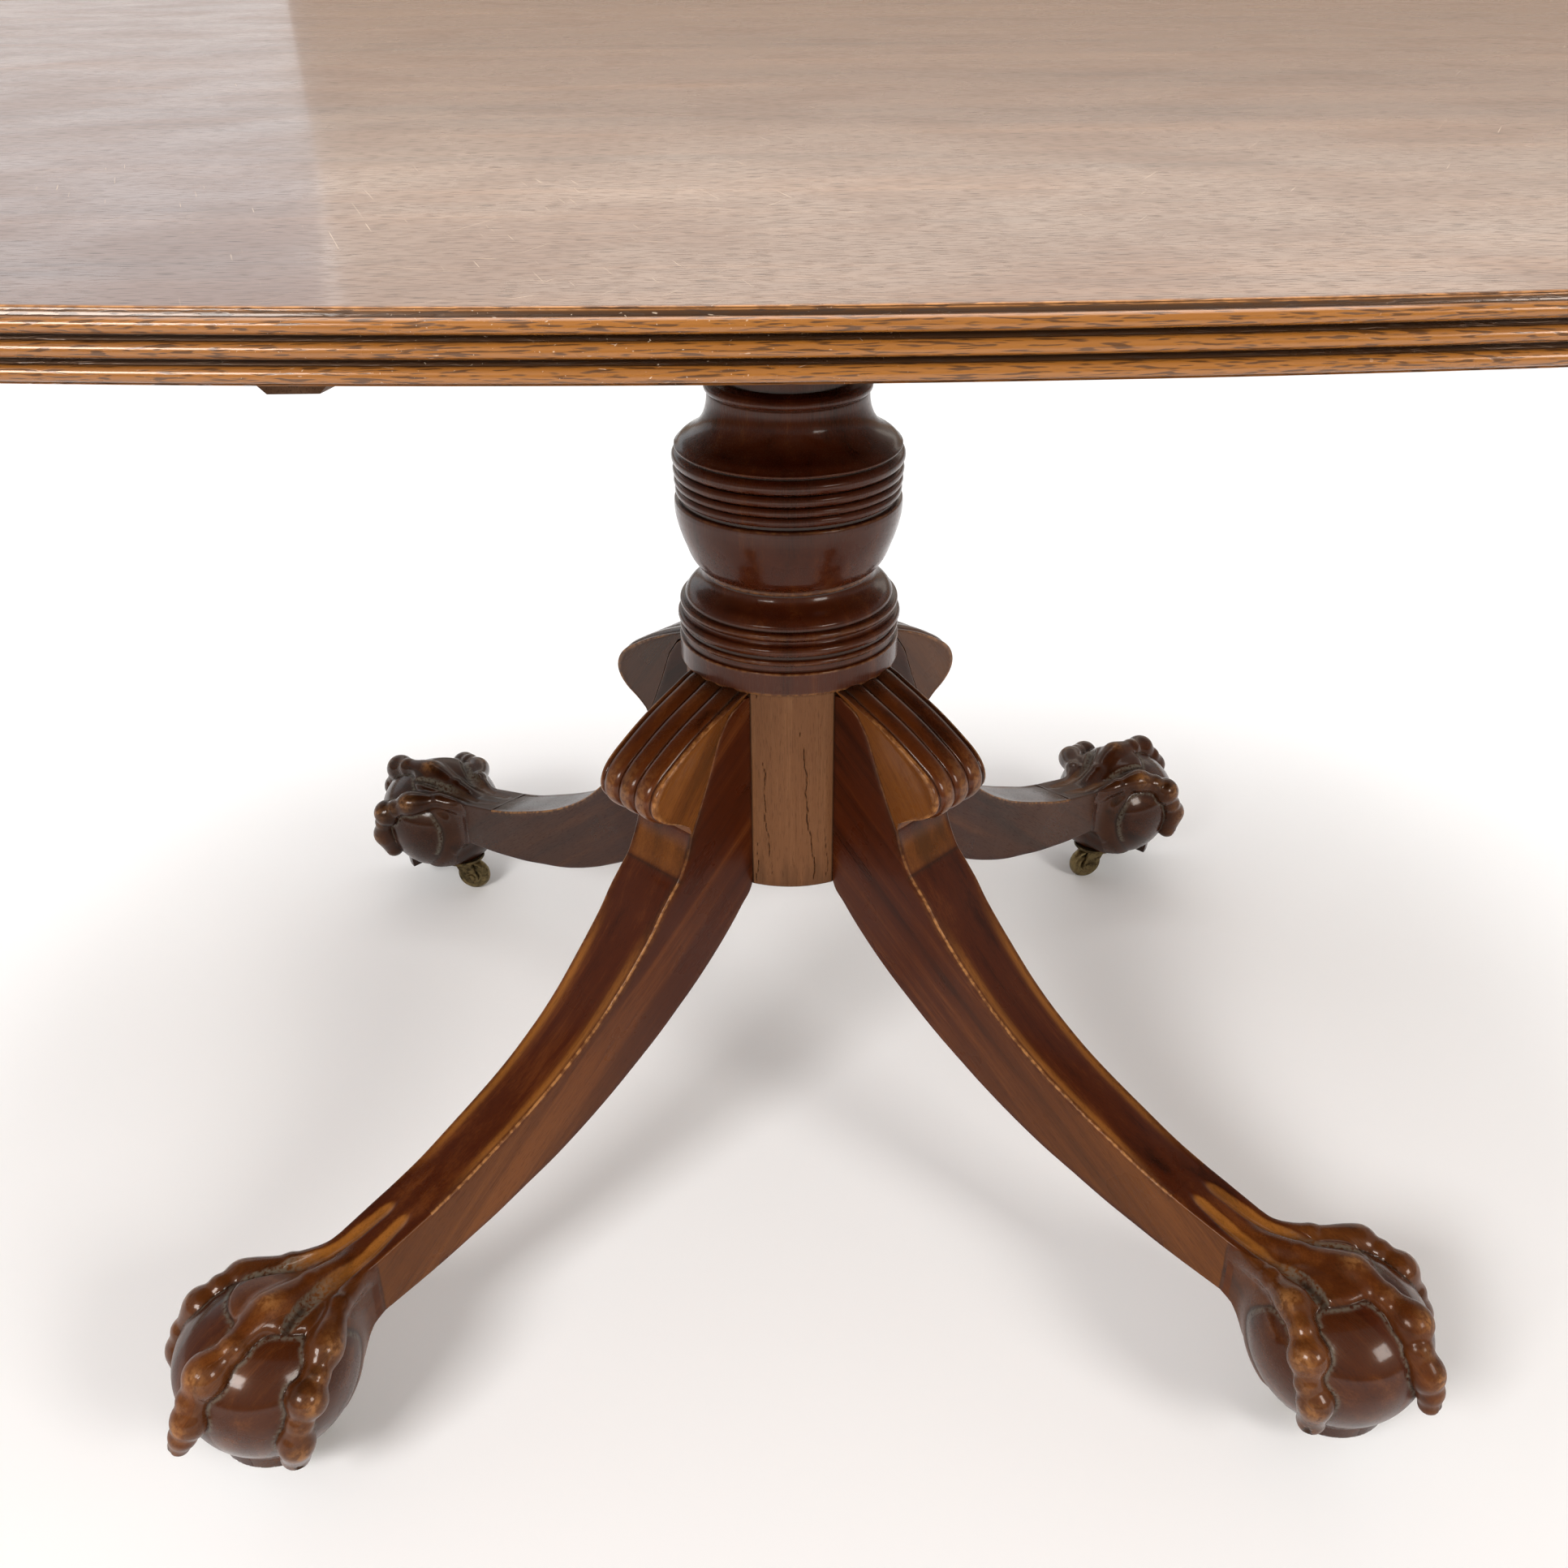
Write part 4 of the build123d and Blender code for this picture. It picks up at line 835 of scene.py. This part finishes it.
def foot_parts(p, carving):
    """Distances to the hand (ankle, tendons, toes) and to the ball, and the depth in a flute."""
    u, v, z = p[..., 0], p[..., 1], p[..., 2]
    outer, inner = (np.array(c, float) for c in (OUTER_CURVE, INNER_CURVE))
    ankle_top = np.interp(u, *np.vstack([outer[:-1], ANKLE_TOP]).T)
    ankle_low = np.interp(u, *np.vstack([inner[:-1], ANKLE_LOW]).T)
    wide = half_width(u) + 3.5 * smoothstep(392, 412, u) - 6 * smoothstep(414, 440, u)
    slope = 0.93
    box = [np.abs(v) - wide, (z - ankle_top) * slope, (ankle_low - z) * slope, 0.8 * (u - ANKLE_END)]
    box = np.stack(box, -1) + ARRIS
    ankle = np.sqrt((np.clip(box, 0, None) ** 2).sum(-1)) + np.clip(box.max(-1), None, 0) - ARRIS
    rho = np.hypot(u - BALL_CENTRE, v)
    rise = z - BALL_EQUATOR
    tall = np.where(rise > 0, BALL_RISE, BALL_DROP)
    scaled = np.hypot(rho / BALL_RADIUS, rise / tall)
    ball = scaled * (scaled - 1) / np.maximum(np.hypot(rho / BALL_RADIUS ** 2, rise / tall ** 2), 1e-6)
    base = np.maximum(rho - BASE_RADIUS + 0.12 * (BASE_TOP - z), z - BASE_TOP)
    ball = smooth_min(ball, base, 0.8)
    ball = np.maximum(ball, FOOT_BOTTOM - z)
    # The end of the block under the tendons melts into the palm.
    palm_zone = (np.hypot((u - 430) / 41, v / 34) - 1) * 36
    palm = -smooth_min(3.4 - ball, -palm_zone, 6)
    hand = smooth_min(ankle, palm, 5)
    toes = None
    for points, radii in toe_paths(carving):
        toe = None
        for a, b, ra, rb in zip(points, points[1:], radii, radii[1:]):
            rod = link(p, a, b, ra, rb)
            toe = rod if toe is None else smooth_min(toe, rod, 2.2)
        toe = np.maximum(toe, -claw_split(p, points[-1]))
        toes = toe if toes is None else np.minimum(toes, toe)
    hand = smooth_min(hand, toes, 4.2)
    flute = None
    for side in (-1, 1):
        for (ua, va, za, ra), (ub, vb, zb, rb) in zip(VALLEY, VALLEY[1:]):
            rod = link(p, (ua, side * va, za), (ub, side * vb, zb), ra, rb)
            flute = rod if flute is None else np.minimum(flute, rod)
    hand = -smooth_min(-hand, flute, 1.6)
    return hand, ball, flute


def foot_distance(p, carving):
    hand, ball, _ = foot_parts(p, carving)
    whole = np.minimum(hand, ball)
    u, v, z = p[..., 0], p[..., 1], p[..., 2]
    pocket = np.minimum(np.hypot(u - SWIVEL, v) - POCKET_RADIUS, u - POCKET_END)
    pocket = np.maximum(pocket, z - POCKET_TOP)
    return np.maximum(whole, -pocket)


def surface_net(low, high, distance):
    """Quads over the zero surface of a distance function, evaluated only near that surface."""
    step = NET_STEP
    blocks = np.ceil((np.array(high) - low) / (step * BLOCK)).astype(int)
    centre = [low[k] + step * BLOCK * (np.arange(blocks[k]) + 0.5) for k in range(3)]
    coarse = distance(np.stack(np.meshgrid(*centre, indexing="ij"), -1).astype(np.float32))
    field = coarse.copy()
    for axis in range(3):
        field = np.repeat(field, BLOCK, axis)
    near = np.abs(field) < 1.15 * step * BLOCK
    cells = np.argwhere(near)
    field[near] = distance((np.array(low) + step * (cells + 0.5)).astype(np.float32))
    inside = field < 0
    corners = [(i, j, k) for i in (0, 1) for j in (0, 1) for k in (0, 1)]
    size = np.array(field.shape)
    count = sum(inside[i:size[0] - 1 + i, j:size[1] - 1 + j, k:size[2] - 1 + k].astype(int)
                for i, j, k in corners)
    active = (count > 0) & (count < 8)
    cells = np.argwhere(active)
    index = np.full(active.shape, -1)
    index[active] = np.arange(len(cells))
    total, hits = np.zeros((len(cells), 3)), np.zeros(len(cells))
    for a in corners:
        for axis in range(3):
            if a[axis] == 0:
                ends = cells + a
                far = ends.copy()
                far[:, axis] += 1
                fa, fb = field[tuple(ends.T)], field[tuple(far.T)]
                crossed = (fa < 0) != (fb < 0)
                t = fa / np.where(crossed, fa - fb, 1)
                point = np.array(a, float) + t[:, None] * np.eye(3)[axis]
                total[crossed] += point[crossed]
                hits[crossed] += 1
    vertices = np.array(low) + step * (cells + 0.5 + total / hits[:, None])
    faces = []
    for axis in range(3):
        b, c = (axis + 1) % 3, (axis + 2) % 3
        first, second = np.delete(inside, -1, axis), np.delete(inside, 0, axis)
        edges = np.argwhere(first != second)
        at_b, at_c = edges[:, b], edges[:, c]
        edges = edges[(at_b > 0) & (at_c > 0) & (at_b < size[b] - 1) & (at_c < size[c] - 1)]
        step_b, step_c = np.eye(3, dtype=int)[b], np.eye(3, dtype=int)[c]
        round_edge = (edges, edges - step_b, edges - step_b - step_c, edges - step_c)
        quad = np.stack([index[tuple(e.T)] for e in round_edge], 1)
        outward = first[tuple(edges.T)]
        faces.append(np.where(outward[:, None], quad, quad[:, ::-1]))
    return vertices, np.vstack(faces)


def onto_surface(vertices, distance):
    """Moves points onto the zero surface along its slope."""
    for _ in range(2):
        value = distance(vertices)
        slope = np.stack([distance(vertices + 0.25 * e) - distance(vertices - 0.25 * e)
                          for e in np.eye(3)], -1) / 0.5
        size = (slope * slope).sum(-1)
        move = np.where(size > 0.3, value / np.maximum(size, 0.3), 0)
        vertices = vertices - np.clip(move, -0.6, 0.6)[:, None] * slope
    return vertices


def foot_mesh(carving):
    """One carved foot as a single skin, with its marks, from the ankle outwards."""
    def distance(p):
        return foot_distance(p, carving)

    vertices, faces = surface_net(np.array([FOOT_JOIN - 3.0, -72.0, 20.0]), (524, 72, 136), distance)
    vertices = onto_surface(vertices, distance)
    hand, ball, flute = foot_parts(vertices, carving)
    gap = hand - ball
    u, v, z = vertices.T
    wear_and_highlight, hole = np.zeros(len(vertices)), np.zeros(len(vertices))
    for points, radii in toe_paths(carving):
        hole = np.maximum(hole, smoothstep(0.8, 0.2, claw_split(vertices, points[-1])))
        for (pu, pv, pz), r in zip(points[2:], radii[2:]):
            out = np.array([pu - BALL_CENTRE, pv, pz - BALL_EQUATOR])
            pole = np.array([pu, pv, pz]) + out / np.linalg.norm(out) * r
            near_pole = np.exp(-(np.linalg.norm(vertices - pole, axis=1) / 7.0) ** 2)
            wear_and_highlight = np.maximum(wear_and_highlight, (0.25 + 0.45 * (r > KNUCKLE)) * near_pole)
    on_ball = smoothstep(0.15, 0.5, gap)
    crease = np.exp(-(gap / 0.7) ** 2) * (z > 40)
    ring = np.exp(-(np.maximum(gap - 1.5, 0) / 1.2) ** 2) * on_ball * (z > 55)
    gouge = smoothstep(0.9, 0.1, flute) * smoothstep(352, 358, u)
    toe_gold = 0.10 * (1 - on_ball) * smoothstep(375, 400, u)
    golden = np.clip(0.8 * gouge * smoothstep(440, 400, u) + toe_gold - 0.3 * on_ball, 0, 1)
    flank = smoothstep(1.3, 0.7, half_width(u) - np.abs(v)) * smoothstep(CHEEK_START + 1, CHEEK_START - 1, u)
    golden = np.clip(golden + FLANK_GOLD * flank, 0, 1)
    wax = np.clip(0.75 * ring + 0.8 * gouge * smoothstep(402, 430, u), 0, 1)
    # Painted shade: dark in the crease where the carving meets the ball, over the whole ball, and more
    # towards the ball's bottom.
    dirt_and_shade = np.clip(0.85 * crease + 0.12 * on_ball + 0.40 * on_ball * smoothstep(36, 27, z), 0, 1)
    saw = np.exp(-(np.maximum(np.abs(u - CHEEK_START) - 0.15, 0) / 0.35) ** 2)
    saw *= (np.abs(v) > SAW_LINE - 0.8) * (z < 113)
    dirt_and_shade = np.clip(dirt_and_shade + 0.55 * saw + 0.8 * hole, 0, 1)
    return vertices, faces, {"wear_and_highlight": wear_and_highlight * (1 - on_ball), "golden": golden, "wax": wax, "dirt_and_shade": dirt_and_shade}


def piece_of_foot(name, parts, planes):
    """The foot's skin on the near side of each (point, normal) plane, closed where it was sawn."""
    piece = make_object(name, *parts, sharp=60)

    def saw(bm):
        for point, normal in planes:
            cut(bm, point, normal)

    edit(piece, saw)
    piece.data.set_sharp_from_angle(angle=radians(60))
    return piece


def at_u(u, way):
    return (u, 0, 0), (way, 0, 0)


def at_v(v, way):
    return (0, v, 0), (0, way, 0)


knee_parts = knee_mesh()
shank_parts = shank_mesh()
for leg_name, azimuth in LEGS.items():
    node = f"leg_{leg_name}"
    polish = leg_wood[leg_name]
    shank = make_object(f"shank_{leg_name}", *shank_parts, sharp=40, flip=True)
    edit(shank, lambda bm: cut(bm, *at_u(FOOT_JOIN, 1)))
    shank.data.set_sharp_from_angle(angle=radians(40))
    settle(shank, "base", [node], polish, azimuth)
    foot = foot_mesh(FEET[leg_name])
    ankle = piece_of_foot(f"ankle_{leg_name}", foot, [at_u(FOOT_JOIN, -1), at_u(CHEEK_START, 1)])
    settle(ankle, "base", [node], polish, azimuth)
    core = piece_of_foot(f"foot_{leg_name}", foot,
                         [at_u(CHEEK_START, -1), at_v(SAW_LINE, 1), at_v(-SAW_LINE, -1)])
    settle(core, "base", [node], polish, azimuth)
    for side, way in (("left", -1), ("right", 1)):
        cheek = piece_of_foot(f"cheek_{leg_name}_{side}", foot,
                              [at_u(CHEEK_START, -1), at_v(-way * SAW_LINE, way)])
        settle(cheek, "base", [f"foot_cheek_{leg_name}_{side}"], foot_wood[leg_name],
               azimuth)
    knee = make_object(f"knee_{leg_name}", *knee_parts, sharp=40)
    settle(knee, "base", [f"knee_block_{leg_name}"], knee_wood[leg_name], azimuth)

# ---------------------------------------------------------------- CAD pieces that stay
STAYING = {
    "bearer_left": plain_wood, "bearer_right": plain_wood, "tilt_block": plain_wood,
    "tenon_wedge": plain_wood,
    "catch_plate": rubbed_brass, "catch_bolt": rubbed_brass, "strike_plate": rubbed_brass,
    "pivot_pin_left": rubbed_brass, "pivot_pin_right": rubbed_brass, "spider_plate": black_iron,
}
for node_name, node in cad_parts.items():
    material = STAYING.get(node_name)
    if "screws" in node_name:
        material = old_steel
    if node_name.startswith("caster_wheel"):
        material = wheel_brass
    elif node_name.startswith("caster_") and "screws" not in node_name:
        material = old_brass
    if material:
        node.data.materials.clear()
        node.data.materials.append(material)

# ---------------------------------------------------------------- floor, light and camera
FLOOR_HALF = 14.0
floor_corners = [(x * FLOOR_HALF, y * FLOOR_HALF, 0) for x, y in ((-1, -1), (1, -1), (1, 1), (-1, 1))]
floor_mesh = bpy.data.meshes.new("floor")
floor_mesh.from_pydata(floor_corners, [], [(0, 1, 2, 3)])
floor = bpy.data.objects.new("floor", floor_mesh)
floor.data.materials.append(floor_material())
bpy.context.scene.collection.objects.link(floor)


def softbox(name, place, aim, size, power, colour=(1, 1, 1)):
    light = bpy.data.lights.new(name, "AREA")
    light.shape = "RECTANGLE"
    light.size, light.size_y = size
    light.energy = power
    light.color = colour
    lamp = bpy.data.objects.new(name, light)
    lamp.location = place
    lamp.rotation_euler = (Vector(aim) - Vector(place)).to_track_quat("-Z", "Y").to_euler()
    lamp.visible_camera = False
    bpy.context.scene.collection.objects.link(lamp)


softbox("key", (-1.5, -2.3, 2.0), (0, -0.1, 0.2), (1.1, 0.8), 70, (1.0, 0.98, 0.96))
softbox("fill", (1.9, -2.2, 1.7), (0, 0, 0.2), (0.9, 0.9), 42, (1.0, 0.97, 0.93))
softbox("over", (0, 0.6, 3.4), (0, 0, 0), (3.0, 3.0), 108)
softbox("back", (1.0, 4.2, 1.85), (0.2, -0.5, 0.76), (5.0, 0.9), 12, (1.0, 0.86, 0.70))
softbox("back_left", (-2.45, 3.0, 1.35), (-0.4, -0.4, 0.76), (2.9, 1.3), 7, (0.84, 0.92, 1.0))

world = bpy.data.worlds.new("studio")
world.use_nodes = True
world.node_tree.nodes.clear()
sky = Nodes(world.node_tree)
sky_place = sky.add("ShaderNodeTexCoord").outputs["Generated"]
upward = sky.add("ShaderNodeSeparateXYZ", {"Vector": sky_place}).outputs["Z"]
sky_colour = sky.mix(sky.spread(upward, 0.02, 0.22), (0.62, 0.38, 0.21), (0.98, 0.97, 0.95))
background = sky.add("ShaderNodeBackground", {"Color": sky_colour, "Strength": 0.56})
sky.add("ShaderNodeOutputWorld", {"Surface": background.outputs[0]})
bpy.context.scene.world = world
bpy.context.scene.view_settings.view_transform = "Standard"

camera_data = bpy.data.cameras.new("camera")
camera_data.sensor_width = 36
camera_data.lens = 36.06
camera_data.clip_end = 60
camera = bpy.data.objects.new("camera", camera_data)
CAMERA_PLACE = Vector((-0.0286, -0.9756, 0.842))
CAMERA_TILT = radians(29.87)
CAMERA_HEADING = 0.0252
CAMERA_ROLL = -0.0057
turn = Euler((pi / 2 - CAMERA_TILT, 0, -CAMERA_HEADING)).to_matrix().to_4x4()
camera.matrix_world = Matrix.Translation(CAMERA_PLACE) @ turn @ Matrix.Rotation(CAMERA_ROLL, 4, "Z")
bpy.context.scene.collection.objects.link(camera)
bpy.context.scene.camera = camera
